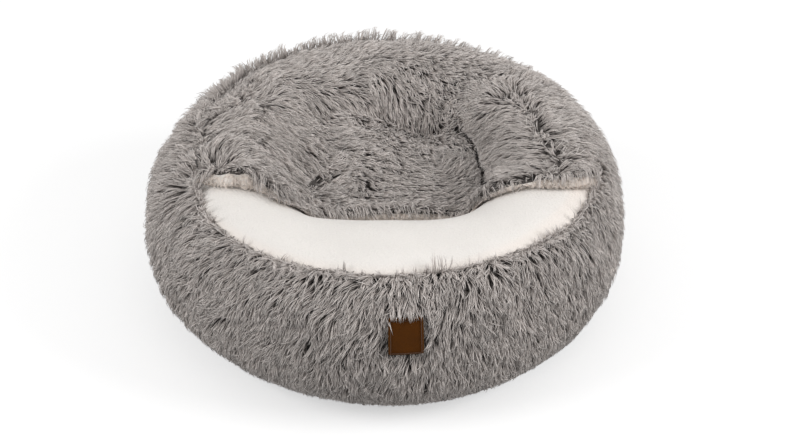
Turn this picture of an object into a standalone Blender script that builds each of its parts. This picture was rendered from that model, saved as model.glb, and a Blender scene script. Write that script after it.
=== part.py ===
"""Round hooded pet bed: a stuffed ring in long-pile fabric round a crowned cushion, under a hood.

Units are metres and +Z is up. The origin is the centre of the base, on the floor. The hood's mouth
faces -Y, and the flap at its middle lifts about a line along X.
"""

import math

import bmesh
import bpy
import numpy as np
from mathutils import Vector

# Overall sizes of the bed
BED_DIAMETER = 0.584
RIM_HEIGHT = 0.200
FILLING_WIDTH = 0.160
SQUARENESS = 2.4

# Cloth thicknesses, each with its pile, and the gap kept between pieces
FUR_THICKNESS = 0.012
FUR_EDGE = 0.005
PLUSH_THICKNESS = 0.005
PLUSH_EDGE = 0.004
BASE_THICKNESS = 0.0017
GAP = 0.0003

# Seam lines on the stuffed ring: the crest seam lies outside the middle of its section
SEAM_OUTSET = 0.0428
BASE_SEAM_HEIGHT = 0.020
LINING_FOOT_HEIGHT = 0.014

# How far the nest and its hood sit to the right of the bed's middle
OPENING_SHIFT = 0.008

# Cushion in the ring
CUSHION_CROWN_HEIGHT = 0.118
CUSHION_COVER_THICKNESS = 0.004
CUSHION_FULLNESS = 2.3

# Hood and its flap
HOOD_PLUSH_THICKNESS = 0.004
HOOD_FUR_THICKNESS = 0.008
HOOD_FUR_EDGE = 0.003
HOOD_EDGE_RUN = 0.030
HOOD_SEAT_CLEARANCE = 0.0030
HOOD_DRAPE_RADIUS = 0.009
HOOD_CORNER_ANGLE = math.radians(15)
HOOD_BACK_CORNER_ANGLE = math.radians(45)
FLAP_LEFT = 0.090
FLAP_RIGHT = 0.102
FLAP_HINGE_Y = 0.066
FLAP_HINGE_CLEARANCE = 0.0015

# Label and thread
LABEL_WIDTH = 0.040
LABEL_HEIGHT = 0.044
LABEL_THICKNESS = 0.0016
LABEL_CENTRE_HEIGHT = 0.139
LABEL_OFFSET_X = 0.024
LABEL_STITCH_INSET = 0.0028
STITCH_THREAD = 0.0009
TACK_LENGTH = 0.014
TACK_THREAD = 0.0026
TACK_INSET = 0.009
TACK_START_SHARE = 0.25

# Number of facets
RING_STEPS = 48
COVER_STEPS = 10
LINING_STEPS = 11
SOLE_STEPS = 4
CROWN_STEPS = 8
LOBE_COLUMNS = 6
FLAP_COLUMNS = 12
FRONT_ROWS = 5
BACK_ROWS = 11
LABEL_STEPS = 5
STITCH_STEPS = 6
TACK_STEPS = 4
HEM_STEPS = 120
SHARP_ANGLE = math.radians(50)

# Shape of the hood where it hangs free: x and y in seam radii, height in rim heights
HOOD_SHAPE_SHARES = (
    (-0.80, 0.00, 1.040),
    (-0.63, 0.13, 0.960),
    (-0.42, 0.21, 0.860),
    (-0.21, 0.27, 0.815),
    (-0.50, 0.55, 0.935),
    (-0.25, 0.67, 0.900),
    (0.00, 0.84, 0.950),
    (0.02, 0.61, 0.810),
    (0.08, 0.44, 0.730),
    (0.23, 0.38, 0.730),
    (0.34, 0.59, 0.850),
    (0.55, 0.46, 0.920),
    (0.71, 0.25, 1.025),
    (0.65, 0.00, 1.015),
    (0.63, -0.15, 0.950),
    (0.80, -0.17, 1.030),
    (0.45, 0.13, 0.800),
    (0.45, -0.08, 0.780),
    (0.00, 0.26, 0.805),
    (0.25, 0.26, 0.795),
    (0.00, 0.02, 0.760),
    (0.25, 0.02, 0.755),
    (-0.21, -0.29, 0.725),
    (0.13, -0.29, 0.720),
    (0.38, -0.29, 0.735),
    (-0.42, -0.08, 0.760),
    (-0.55, -0.21, 0.920),
    (-0.76, -0.19, 1.065),
    (-0.59, -0.04, 0.960),
)
HOOD_EDGE_HEIGHT_SHARE = 0.925
HOOD_EDGE_STEPS = 9

# Front edge of the hood in plan, from the left corner to the right, in seam radii
HEM_SHARES = (
    (-0.97, -0.26),
    (-0.85, -0.30),
    (-0.74, -0.29),
    (-0.64, -0.27),
    (-0.52, -0.27),
    (-0.41, -0.28),
    (-0.25, -0.29),
    (0.00, -0.29),
    (0.21, -0.29),
    (0.37, -0.29),
    (0.47, -0.32),
    (0.56, -0.34),
    (0.70, -0.34),
    (0.85, -0.31),
    (0.97, -0.26),
)

# Sizes worked out from those above
RING_RADIUS = BED_DIAMETER / 2 - FUR_THICKNESS - GAP - FILLING_WIDTH / 2
HALF_WIDTH = FILLING_WIDTH / 2
FILLING_BOTTOM = BASE_THICKNESS + GAP
FILLING_TOP = RIM_HEIGHT - PLUSH_THICKNESS - GAP
HALF_HEIGHT = (FILLING_TOP - FILLING_BOTTOM) / 2
RING_HEIGHT = (FILLING_TOP + FILLING_BOTTOM) / 2
SEAM_RADIUS = RING_RADIUS + SEAM_OUTSET
CREST_ANGLE = math.acos((SEAM_OUTSET / HALF_WIDTH) ** (SQUARENESS / 2))
BASE_ANGLE = -math.asin(((RING_HEIGHT - BASE_SEAM_HEIGHT) / HALF_HEIGHT) ** (SQUARENESS / 2))
FOOT_ANGLE = math.pi + math.asin(
    ((RING_HEIGHT - LINING_FOOT_HEIGHT) / HALF_HEIGHT) ** (SQUARENESS / 2)
)
SEAM_GAP_ANGLE = GAP / HALF_WIDTH
PANEL_GAP_ANGLE = GAP / 2 / (RING_RADIUS - HALF_WIDTH)

MATERIALS = {
    "grey_fur": ((0.27, 0.24, 0.225, 1), 0.9),
    "cream_plush": ((0.83, 0.80, 0.75, 1), 0.95),
    "fibre": ((0.85, 0.85, 0.83, 1), 1.0),
    "base_cloth": ((0.06, 0.06, 0.065, 1), 0.8),
    "tan_leatherette": ((0.17, 0.07, 0.018, 1), 0.55),
    "thread": ((0.10, 0.055, 0.03, 1), 0.8),
}


def clear_scene():
    for obj in list(bpy.data.objects):
        bpy.data.objects.remove(obj)


def material(name):
    found = bpy.data.materials.get(name)
    if found:
        return found
    colour, roughness = MATERIALS[name]
    made = bpy.data.materials.new(name)
    made.use_nodes = True
    shader = made.node_tree.nodes["Principled BSDF"]
    shader.inputs["Base Color"].default_value = colour
    shader.inputs["Roughness"].default_value = roughness
    shader.inputs["Metallic"].default_value = 0
    made.diffuse_color = colour
    return made


def add_object(name, mesh, finish):
    """Links a mesh as a named object with its finish, shaded smooth but for its sharp edges."""
    mesh.materials.append(material(finish))
    mesh.shade_smooth()
    mesh.set_sharp_from_angle(angle=SHARP_ANGLE)
    obj = bpy.data.objects.new(name, mesh)
    bpy.context.scene.collection.objects.link(obj)
    return obj


def nest_shift(x, y):
    """Shift along X of a place on the bed: whole over the nest, and none at the bed's outside."""
    share = (math.hypot(x, y) - RING_RADIUS) / (BED_DIAMETER / 2 - RING_RADIUS)
    share = min(max(share, 0), 1)
    return OPENING_SHIFT * (1 - share * share * (3 - 2 * share))


def mesh_from_bmesh(name, bm):
    """Mesh with its doubles merged and its faces outwards, and with the nest shifted."""
    bmesh.ops.remove_doubles(bm, verts=bm.verts, dist=GAP / 100)
    for vertex in bm.verts:
        vertex.co.x += nest_shift(vertex.co.x, vertex.co.y)
    bmesh.ops.recalc_face_normals(bm, faces=bm.faces)
    mesh = bpy.data.meshes.new(name)
    bm.to_mesh(mesh)
    bm.free()
    return mesh


def section(angle, outset=0.0):
    """Radius and height of the stuffed ring's section, a superellipse grown by an outset."""
    power = 2 / SQUARENESS
    cosine, sine = np.cos(angle), np.sin(angle)
    across = (HALF_WIDTH + outset) * np.sign(cosine) * np.abs(cosine) ** power
    up = (HALF_HEIGHT + outset) * np.sign(sine) * np.abs(sine) ** power
    return RING_RADIUS + across, RING_HEIGHT + up


def stations(start, end, steps):
    """Angles along a panel, closer together near its two seams."""
    even = np.linspace(0, 1, steps + 1)
    eased = (1 - np.cos(math.pi * even)) / 2
    return start + (end - start) * (even + eased) / 2


def pile(angles, full, edge, seam_share=0.22):
    """Thickness of a panel along its width, drawn in towards the seams at both ends."""
    along = (angles - angles[0]) / (angles[-1] - angles[0])
    near = np.minimum(along, 1 - along) / seam_share
    return edge + (full - edge) * np.sin(np.clip(near, 0, 1) * math.pi / 2)


def spin_profile(name, points, finish, start, turn, steps, closed):
    """Turns a profile of (radius, height) about Z: a closed one as a face, an open one as a line."""
    bm = bmesh.new()
    direction = Vector((math.cos(start), math.sin(start), 0))
    corners = [bm.verts.new(direction * radius + Vector((0, 0, height))) for radius, height in points]
    whole = abs(turn - 2 * math.pi) < GAP
    pairs = list(zip(corners, corners[1:]))
    if closed:
        pairs.append((corners[-1], corners[0]))
    geometry = corners + [bm.edges.new(pair) for pair in pairs]
    if closed and not whole:
        geometry.append(bm.faces.new(corners))
    bmesh.ops.spin(
        bm, geom=geometry, cent=(0, 0, 0), axis=(0, 0, 1), angle=turn, steps=steps, use_merge=whole
    )
    return add_object(name, mesh_from_bmesh(name, bm), finish)


def outer_stations():
    return stations(BASE_ANGLE, CREST_ANGLE, COVER_STEPS)


def inner_stations():
    return stations(CREST_ANGLE, FOOT_ANGLE, LINING_STEPS)


def sole_stations():
    return np.linspace(-math.pi / 2, BASE_ANGLE, SOLE_STEPS + 1)


def foot_stations():
    return np.linspace(FOOT_ANGLE, 3 * math.pi / 2, SOLE_STEPS + 1)


def panel_profile(angles, full, edge):
    """Closed section of one panel: along its back at the filling, and back along its face."""
    clear = angles.copy()
    clear[0] += SEAM_GAP_ANGLE
    clear[-1] -= SEAM_GAP_ANGLE
    back = np.column_stack(section(clear, GAP))
    face = np.column_stack(section(clear, GAP + pile(angles, full, edge)))
    return np.vstack([back, face[::-1]])


def make_ring():
    """The fibre ring, and its fur and plush panels as front and back halves that meet at the sides."""
    panels = (outer_stations(), inner_stations(), foot_stations(), sole_stations())
    filling = np.column_stack(section(np.concatenate([angles[:-1] for angles in panels])))
    spin_profile("rim_filling", filling, "fibre", 0, 2 * math.pi, RING_STEPS, True)
    cover = panel_profile(outer_stations(), FUR_THICKNESS, FUR_EDGE)
    lining = panel_profile(inner_stations(), PLUSH_THICKNESS, PLUSH_EDGE)
    half_turn = math.pi - 2 * PANEL_GAP_ANGLE
    for side, start in (("front", math.pi), ("back", 0)):
        begin = start + PANEL_GAP_ANGLE
        steps = RING_STEPS // 2
        spin_profile(f"rim_cover_{side}", cover, "grey_fur", begin, half_turn, steps, True)
        spin_profile(f"rim_lining_{side}", lining, "cream_plush", begin, half_turn, steps, True)


def make_base():
    """Round bottom panel: flat under the bed, and curved up round the ring to the base seam."""
    sole = sole_stations()
    sole[-1] -= SEAM_GAP_ANGLE
    upper = np.column_stack(section(sole, GAP))
    lower = np.column_stack(section(sole, GAP + BASE_THICKNESS))
    profile = np.vstack([[(0, 0)], lower, upper[::-1], [(0, BASE_THICKNESS)]])
    spin_profile("base_cloth", profile, "base_cloth", 0, 2 * math.pi, RING_STEPS, False)


def crown(edge, inset):
    """Cushion's top from its centre to its edge, a place (radius, height), less an inset."""
    turn = np.linspace(0, math.pi / 2, CROWN_STEPS + 1)
    radius = (edge[0] - inset) * np.sin(turn)
    rise = (CUSHION_CROWN_HEIGHT - edge[1]) * np.abs(np.cos(turn)) ** (2 / CUSHION_FULLNESS)
    return np.column_stack([radius, edge[1] + rise - inset])


def make_cushion():
    """Crowned cushion squeezed into the ring up to its narrowest place: a plush cover over fibre."""
    wall = np.column_stack(section(inner_stations(), 2 * GAP + PLUSH_THICKNESS))
    edge, *side = wall[wall[:, 1] < RING_HEIGHT]
    side = np.array(side)
    fibre_inset = CUSHION_COVER_THICKNESS + GAP
    face = np.vstack([crown(edge, 0), side])
    back = np.vstack([crown(edge, CUSHION_COVER_THICKNESS), side - (CUSHION_COVER_THICKNESS, 0)])
    cover = np.vstack([face, back[::-1]])
    spin_profile("cushion_cover", cover, "cream_plush", 0, 2 * math.pi, RING_STEPS, False)
    fibre_side = side - (fibre_inset, 0)
    fibre_foot = [(fibre_side[-1][0], FILLING_BOTTOM), (0, FILLING_BOTTOM)]
    fibre = np.vstack([crown(edge, fibre_inset), fibre_side, fibre_foot])
    spin_profile("cushion_filling", fibre, "fibre", 0, 2 * math.pi, RING_STEPS, False)


def spline(points, parameter):
    """Smooth curve through points, one row each, at parameters from 0 to 1 (Catmull-Rom)."""
    points = np.asarray(points, float)
    position = np.clip(parameter, 0, 1) * (len(points) - 1)
    first = np.minimum(position.astype(int), len(points) - 2)
    step = (position - first)[:, None]
    ends = np.vstack([2 * points[0] - points[1], points, 2 * points[-1] - points[-2]])
    a, b, c, d = (ends[first + k] for k in range(4))
    return (
        2 * b + (c - a) * step + (2 * a - 5 * b + 4 * c - d) * step**2 + (3 * b - a - 3 * c + d) * step**3
    ) / 2


def plate_kernel(squared):
    """Thin-plate kernel, squared distance times its logarithm."""
    return squared * np.log(np.maximum(squared, 1e-12))


def plate_weights(points):
    """Weights of the smooth surface that bends least through points of (x, y, height)."""
    count = len(points)
    flat = np.column_stack([np.ones(count), points[:, :2]])
    apart = ((points[:, None, :2] - points[None, :, :2]) ** 2).sum(axis=2)
    system = np.zeros((count + 3, count + 3))
    system[:count, :count] = plate_kernel(apart)
    system[:count, count:] = flat
    system[count:, :count] = flat.T
    return np.linalg.solve(system, np.concatenate([points[:, 2], np.zeros(3)]))


def hood_controls():
    """Points that the hood's cloth passes through, in seam radii and rim heights."""
    angles = np.linspace(-HOOD_CORNER_ANGLE, math.pi + HOOD_CORNER_ANGLE, HOOD_EDGE_STEPS)
    height = np.full(len(angles), HOOD_EDGE_HEIGHT_SHARE)
    edge = np.column_stack([np.cos(angles), np.sin(angles), height])
    return np.vstack([np.array(HOOD_SHAPE_SHARES), edge])


CONTROLS = hood_controls()
WEIGHTS = plate_weights(CONTROLS)


def hanging_height(x, y):
    """Height of the hood's cloth where nothing holds it up."""
    across, along = x / SEAM_RADIUS, y / SEAM_RADIUS
    apart = (across[..., None] - CONTROLS[:, 0]) ** 2 + (along[..., None] - CONTROLS[:, 1]) ** 2
    bent = plate_kernel(apart) @ WEIGHTS[: len(CONTROLS)]
    level = WEIGHTS[-3] + WEIGHTS[-2] * across + WEIGHTS[-1] * along
    return RIM_HEIGHT * (bent + level)


def resting_height(x, y):
    """Height of the hood's cloth where it lies on the ring's lining."""
    outset = GAP + PLUSH_THICKNESS
    share = np.clip(np.abs(np.hypot(x, y) - RING_RADIUS) / (HALF_WIDTH + outset), 0, 1)
    top = RING_HEIGHT + (HALF_HEIGHT + outset) * (1 - share**SQUARENESS) ** (1 / SQUARENESS)
    return top + HOOD_SEAT_CLEARANCE + HOOD_PLUSH_THICKNESS


def hood_height(x, y):
    """Height between the hood's plush and its fur: the higher of hanging and resting, blended."""
    hanging, resting = hanging_height(x, y), resting_height(x, y)
    apart = hanging - resting
    return (hanging + resting + np.sqrt(apart**2 + HOOD_DRAPE_RADIUS**2)) / 2


def hood_fur_top(x, y):
    """Upper face of the hood's fur, thinner at the seam where it is drawn in."""
    run = np.clip((SEAM_RADIUS - np.hypot(x, y)) / HOOD_EDGE_RUN, 0, 1)
    pile_height = HOOD_FUR_EDGE + (HOOD_FUR_THICKNESS - HOOD_FUR_EDGE) * np.sin(run * math.pi / 2)
    return hood_height(x, y) + pile_height


def eased(start, end, steps):
    """Places from start to end, closer together near both."""
    return start + (end - start) * (1 - np.cos(np.linspace(0, math.pi, steps + 1))) / 2


def hood_grid():
    """Plan of the hood as rows of (x, y), from the front edge back, and its kinds of cell.

    A row is left lobe, flap and right lobe, with a gap between them. Rows in front of the hinge
    line keep the flap's sides straight. Rows behind it spread to the round seam at the back.
    """
    hem = spline(np.array(HEM_SHARES) * SEAM_RADIUS, np.linspace(0, 1, HEM_STEPS))
    rows = []
    for share in np.linspace(0, 1, FRONT_ROWS + 1):
        rows.append(front_row(share, hem, FLAP_HINGE_Y - GAP))
    behind = front_row(1.0, hem, FLAP_HINGE_Y)
    rows.append(behind)
    left_end = math.atan2(behind[0][1], behind[0][0])
    right_end = math.atan2(behind[-1][1], behind[-1][0])
    back_left, back_right = math.pi - HOOD_BACK_CORNER_ANGLE, HOOD_BACK_CORNER_ANGLE
    along = np.linspace(0, 1, len(behind))
    top_angles = back_left + (back_right - back_left) * along
    top = SEAM_RADIUS * np.column_stack([np.cos(top_angles), np.sin(top_angles)])
    for share in np.linspace(0, 1, BACK_ROWS + 1)[1:]:
        left_angle = left_end + (back_left - left_end) * share
        right_angle = right_end + (back_right - right_end) * share
        left = SEAM_RADIUS * np.array([math.cos(left_angle), math.sin(left_angle)])
        right = SEAM_RADIUS * np.array([math.cos(right_angle), math.sin(right_angle)])
        between = (1 - share) * behind + share * top
        sides = (1 - along)[:, None] * left + along[:, None] * right
        corner_left = (1 - share) * behind[0] + share * top[0]
        corner_right = (1 - share) * behind[-1] + share * top[-1]
        corners = (1 - along)[:, None] * corner_left + along[:, None] * corner_right
        rows.append(between + sides - corners)
    return np.array(rows)


def front_row(share, hem, back_y):
    """One row of the plan, a share of the way from the front edge to the hinge line."""
    corner_x = SEAM_RADIUS * math.cos(HOOD_CORNER_ANGLE)
    corner_y = -SEAM_RADIUS * math.sin(HOOD_CORNER_ANGLE)
    end_y = corner_y + (back_y - corner_y) * share
    end_x = math.sqrt(SEAM_RADIUS**2 - end_y**2)
    columns = np.concatenate(
        [
            eased(-end_x, -FLAP_LEFT - GAP, LOBE_COLUMNS),
            eased(-FLAP_LEFT, FLAP_RIGHT, FLAP_COLUMNS),
            eased(FLAP_RIGHT + GAP, end_x, LOBE_COLUMNS),
        ]
    )
    reach = np.clip(columns / end_x, -1, 1) * corner_x
    hem_y = np.interp(reach, hem[:, 0], hem[:, 1])
    hem_y[0] = hem_y[-1] = corner_y
    return np.column_stack([columns, hem_y + (back_y - hem_y) * share])


def sheet(name, rows, cells, bottom, top, finish, parent=None):
    """Cloth made from plan cells: laid at one height, then extruded up to another."""
    bm = bmesh.new()
    places = {}
    for row, column in cells:
        for corner in ((row, column), (row, column + 1), (row + 1, column + 1), (row + 1, column)):
            if corner not in places:
                places[corner] = bm.verts.new((*rows[corner], 0))
        loop = ((row, column), (row, column + 1), (row + 1, column + 1), (row + 1, column))
        bm.faces.new([places[corner] for corner in loop])
    raised = bmesh.ops.extrude_face_region(bm, geom=bm.faces[:])["geom"]
    upper = {item for item in raised if isinstance(item, bmesh.types.BMVert)}
    for vertex in bm.verts:
        height = top if vertex in upper else bottom
        vertex.co.z = height(np.array(vertex.co.x), np.array(vertex.co.y))
    bmesh.ops.triangulate(bm, faces=bm.faces[:])
    mesh = mesh_from_bmesh(name, bm)
    if parent:
        for vertex in mesh.vertices:
            vertex.co -= parent.location
    obj = add_object(name, mesh, finish)
    obj.parent = parent
    return obj


def make_hood():
    """The hood and its flap, each of plush below and fur above, and the flap's hinge line."""
    rows = hood_grid()
    row_count, column_count = rows.shape[0] - 1, rows.shape[1] - 1
    first, last = LOBE_COLUMNS + 1, LOBE_COLUMNS + FLAP_COLUMNS
    flap_cells = [(r, c) for r in range(FRONT_ROWS) for c in range(first, last + 1)]
    cut = {(r, c) for r in range(FRONT_ROWS + 1) for c in range(first - 1, last + 2)}
    hood_cells = [
        (r, c) for r in range(row_count) for c in range(column_count) if (r, c) not in cut
    ]
    hinge_row = rows[FRONT_ROWS]
    hinge_top = hood_fur_top(hinge_row[first : last + 2, 0], hinge_row[first : last + 2, 1]).max()
    hinge = bpy.data.objects.new("flap_hinge", None)
    hinge.location = (0, FLAP_HINGE_Y - GAP / 2, float(hinge_top) + FLAP_HINGE_CLEARANCE)
    bpy.context.scene.collection.objects.link(hinge)
    print("flap hinge line at", tuple(round(value, 5) for value in hinge.location))
    for name, cells, parent in (("hood", hood_cells, None), ("hood_flap", flap_cells, hinge)):
        sheet(
            f"{name}_lining",
            rows,
            cells,
            lambda x, y: hood_height(x, y) - HOOD_PLUSH_THICKNESS,
            lambda x, y: hood_height(x, y) - GAP,
            "cream_plush",
            parent,
        )
        sheet(f"{name}_fur", rows, cells, hood_height, hood_fur_top, "grey_fur", parent)


def cover_point(angle, height, outset):
    """Place on the fur cover's face, at an angle round the bed and a height, pushed out."""
    share = np.clip(abs(height - RING_HEIGHT) / (HALF_HEIGHT + FUR_THICKNESS), 0, 1)
    across = (HALF_WIDTH + FUR_THICKNESS) * (1 - share**SQUARENESS) ** (1 / SQUARENESS)
    radius = RING_RADIUS + GAP + across + outset
    return Vector((radius * math.cos(angle), radius * math.sin(angle), height))


def label_point(across, up, outset):
    """Place on the label, from a share of its width and height."""
    radius = BED_DIAMETER / 2
    centre = -math.pi / 2 + math.asin(LABEL_OFFSET_X / radius)
    angle = centre + across * LABEL_WIDTH / radius
    return cover_point(angle, LABEL_CENTRE_HEIGHT + up * LABEL_HEIGHT, GAP + outset)


def make_label():
    """Blank leatherette label, bent to the cover, with one row of thread round its border."""
    shares = np.linspace(-0.5, 0.5, LABEL_STEPS + 1)
    bm = bmesh.new()
    grid = [[bm.verts.new(label_point(a, u, 0)) for a in shares] for u in shares]
    for low, high in zip(grid, grid[1:]):
        for k in range(LABEL_STEPS):
            bm.faces.new((low[k], low[k + 1], high[k + 1], high[k]))
    raised = bmesh.ops.extrude_face_region(bm, geom=bm.faces[:])["geom"]
    for item in raised:
        if isinstance(item, bmesh.types.BMVert):
            outward = Vector((item.co.x, item.co.y, 0)).normalized()
            item.co += outward * LABEL_THICKNESS
    add_object("front_label", mesh_from_bmesh("front_label", bm), "tan_leatherette")
    half_across = 0.5 - LABEL_STITCH_INSET / LABEL_WIDTH
    half_up = 0.5 - LABEL_STITCH_INSET / LABEL_HEIGHT
    run = np.linspace(-1, 1, STITCH_STEPS + 1)[:-1]
    border = [(a, -1.0) for a in run] + [(1.0, u) for u in run]
    border += [(-a, 1.0) for a in run] + [(-1.0, -u) for u in run]
    lift = LABEL_THICKNESS + 2 * GAP + STITCH_THREAD / 2
    points = [label_point(a * half_across, u * half_up, lift) for a, u in border]
    add_thread("label_stitching", points, STITCH_THREAD, cyclic=True)


def add_thread(name, points, thickness, cyclic=False):
    """Round thread along points, as a bevelled curve."""
    curve = bpy.data.curves.new(name, "CURVE")
    curve.dimensions = "3D"
    curve.bevel_depth = thickness / 2
    curve.bevel_resolution = 1
    curve.use_fill_caps = True
    line = curve.splines.new("POLY")
    line.points.add(len(points) - 1)
    for place, point in zip(line.points, points):
        place.co = (*point, 1)
    line.use_cyclic_u = cyclic
    curve.materials.append(material("thread"))
    obj = bpy.data.objects.new(name, curve)
    bpy.context.scene.collection.objects.link(obj)
    return obj


def make_corner_tacks():
    """Thread bars that hold the hood's two front corners, each laid along the crest seam."""
    radius = SEAM_RADIUS - TACK_INSET
    for side, corner in (("right", -HOOD_CORNER_ANGLE), ("left", math.pi + HOOD_CORNER_ANGLE)):
        inward = 1 if side == "right" else -1
        points = []
        for share in TACK_START_SHARE + np.linspace(0, 1, TACK_STEPS + 1):
            angle = corner + inward * share * TACK_LENGTH / radius
            x, y = radius * math.cos(angle), radius * math.sin(angle)
            height = float(hood_fur_top(np.array(x), np.array(y))) + TACK_THREAD / 2 + 2 * GAP
            points.append((x + nest_shift(x, y), y, height))
        add_thread(f"corner_tack_{side}", points, TACK_THREAD)


def main():
    clear_scene()
    make_base()
    make_ring()
    make_cushion()
    make_hood()
    make_label()
    make_corner_tacks()


main()
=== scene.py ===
"""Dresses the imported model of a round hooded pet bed: long-pile ring and hood, cream plush, label.

Lengths are metres, +Z is up and the hood's mouth faces -Y, as in the model's own frame.
"""

import math

import bmesh
import bpy
import numpy as np
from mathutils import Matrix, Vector


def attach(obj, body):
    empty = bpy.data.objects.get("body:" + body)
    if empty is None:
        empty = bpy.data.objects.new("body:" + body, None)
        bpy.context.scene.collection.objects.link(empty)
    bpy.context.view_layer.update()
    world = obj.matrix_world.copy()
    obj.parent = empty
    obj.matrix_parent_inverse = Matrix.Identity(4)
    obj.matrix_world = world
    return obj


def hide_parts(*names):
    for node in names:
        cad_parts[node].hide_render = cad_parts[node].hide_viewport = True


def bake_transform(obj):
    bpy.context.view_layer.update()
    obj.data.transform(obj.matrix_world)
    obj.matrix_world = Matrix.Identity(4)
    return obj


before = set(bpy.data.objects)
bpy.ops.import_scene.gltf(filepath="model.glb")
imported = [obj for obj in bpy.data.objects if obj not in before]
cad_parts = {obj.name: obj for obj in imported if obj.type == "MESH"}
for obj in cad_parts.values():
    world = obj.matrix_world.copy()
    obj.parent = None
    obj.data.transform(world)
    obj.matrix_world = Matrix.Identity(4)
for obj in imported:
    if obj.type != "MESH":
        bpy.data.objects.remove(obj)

bl_info = {
    "name": "Hooded pet bed",
    "version": (1, 0, 0),
    "blender": (4, 5, 0),
    "location": "3D View > Sidebar > Pet Bed",
    "description": "Makes the cloth, fur, cushion and label of a round hooded pet bed",
    "category": "Add Mesh",
}

FUR_MAP = "OFBake"
SHADE_MAP = "painted_shade"
EDGE_MAP = "edge"

# The stuffed ring, as in the solids
BED_RADIUS = 0.292
RIM_HEIGHT = 0.200
HALF_WIDTH = 0.080
SQUARENESS = 2.4
FUR_PRESSED = 0.012
BASE_CLOTH = 0.0017
GAP = 0.0003
SEAM_OUTSET = 0.0428
BASE_SEAM_HEIGHT = 0.020
FOOT_HEIGHT = 0.014
OPENING_SHIFT = 0.008
LINING_PILE = 0.005
LINING_EDGE = 0.004
RING_RADIUS = BED_RADIUS - FUR_PRESSED - GAP - HALF_WIDTH
RING_BOTTOM = BASE_CLOTH + GAP
RING_TOP = RIM_HEIGHT - LINING_PILE - GAP
HALF_HEIGHT = (RING_TOP - RING_BOTTOM) / 2
RING_HEIGHT = (RING_TOP + RING_BOTTOM) / 2
SEAM_RADIUS = RING_RADIUS + SEAM_OUTSET
CREST_ANGLE = math.acos((SEAM_OUTSET / HALF_WIDTH) ** (SQUARENESS / 2))
BASE_ANGLE = -math.asin(((RING_HEIGHT - BASE_SEAM_HEIGHT) / HALF_HEIGHT) ** (SQUARENESS / 2))
FOOT_ANGLE = math.pi + math.asin(((RING_HEIGHT - FOOT_HEIGHT) / HALF_HEIGHT) ** (SQUARENESS / 2))

# How far the crest seam stands out of a true circle, by azimuth in degrees, and the radius that the
# push starts from
SEAM_PUSHES = (
    (0, 0.004),
    (15, 0.000),
    (135, 0.000),
    (150, -0.010),
    (182, -0.012),
    (199, -0.011),
    (209, 0.000),
    (222, 0.005),
    (240, 0.004),
    (258, 0.000),
    (298, 0.000),
    (312, 0.005),
    (325, 0.011),
    (345, 0.009),
    (360, 0.004),
)
PUSH_START = 0.120

# How far the front of the ring's lining swells into the nest, and how much hollower it is left of
# that: the most, where in the radius, and how far it reaches in the radius and in degrees
BULGE = 0.017
BULGE_RADIUS = 0.150
BULGE_REACH = 0.080
BULGE_TURN = 42
HOLLOW = 0.010
HOLLOW_AZIMUTH = 224
HOLLOW_TURN = 26

# How far the ring draws in where it stands, by azimuth in degrees, and up to what height
FOOT_PINCHES = (
    (0, 0.002),
    (195, 0.002),
    (212, 0.006),
    (228, 0.008),
    (245, 0.004),
    (262, -0.001),
    (280, -0.003),
    (297, -0.001),
    (313, 0.005),
    (330, 0.005),
    (345, 0.002),
    (360, 0.002),
)
PINCH_HEIGHT = 0.100
PINCH_START = 0.150

# The cushion, as in the solids
CUSHION_CROWN = 0.118
CUSHION_COVER = 0.004
CUSHION_FULLNESS = 2.3

# The hood's cloth, as in the solids
HOOD_PLUSH = 0.004
HOOD_CLEARANCE = 0.003
HOOD_DRAPE = 0.009
CORNER_ANGLE = math.radians(15)
FLAP_LEFT = 0.090
FLAP_RIGHT = 0.102

# Points that the hood's cloth hangs through: x and y in seam radii, height in ring heights; then
# the height and the number of the points along its seam
HOOD_SHAPE_SHARES = (
    (-0.80, 0.00, 1.040),
    (-0.63, 0.13, 0.960),
    (-0.42, 0.21, 0.860),
    (-0.21, 0.27, 0.815),
    (-0.50, 0.55, 0.935),
    (-0.25, 0.67, 0.900),
    (0.00, 0.84, 0.950),
    (0.02, 0.61, 0.810),
    (0.08, 0.44, 0.730),
    (0.23, 0.38, 0.730),
    (0.34, 0.59, 0.850),
    (0.55, 0.46, 0.920),
    (0.71, 0.25, 1.025),
    (0.65, 0.00, 1.015),
    (0.63, -0.15, 0.950),
    (0.80, -0.17, 1.030),
    (0.45, 0.13, 0.800),
    (0.45, -0.08, 0.780),
    (0.00, 0.26, 0.805),
    (0.25, 0.26, 0.795),
    (0.00, 0.02, 0.760),
    (0.25, 0.02, 0.755),
    (-0.21, -0.29, 0.725),
    (0.13, -0.29, 0.720),
    (0.38, -0.29, 0.735),
    (-0.42, -0.08, 0.760),
    (-0.55, -0.21, 0.920),
    (-0.76, -0.19, 1.065),
    (-0.59, -0.04, 0.960),
)
HOOD_EDGE_HEIGHT_SHARE = 0.925
HOOD_EDGE_STEPS = 9

# The hem's line in plan: x and y in seam radii
HEM_SHARES = (
    (-0.97, -0.27),
    (-0.85, -0.335),
    (-0.74, -0.338),
    (-0.64, -0.350),
    (-0.52, -0.392),
    (-0.41, -0.360),
    (-0.25, -0.290),
    (0.00, -0.262),
    (0.21, -0.272),
    (0.37, -0.300),
    (0.47, -0.342),
    (0.56, -0.350),
    (0.70, -0.340),
    (0.85, -0.325),
    (0.97, -0.270),
)

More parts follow.
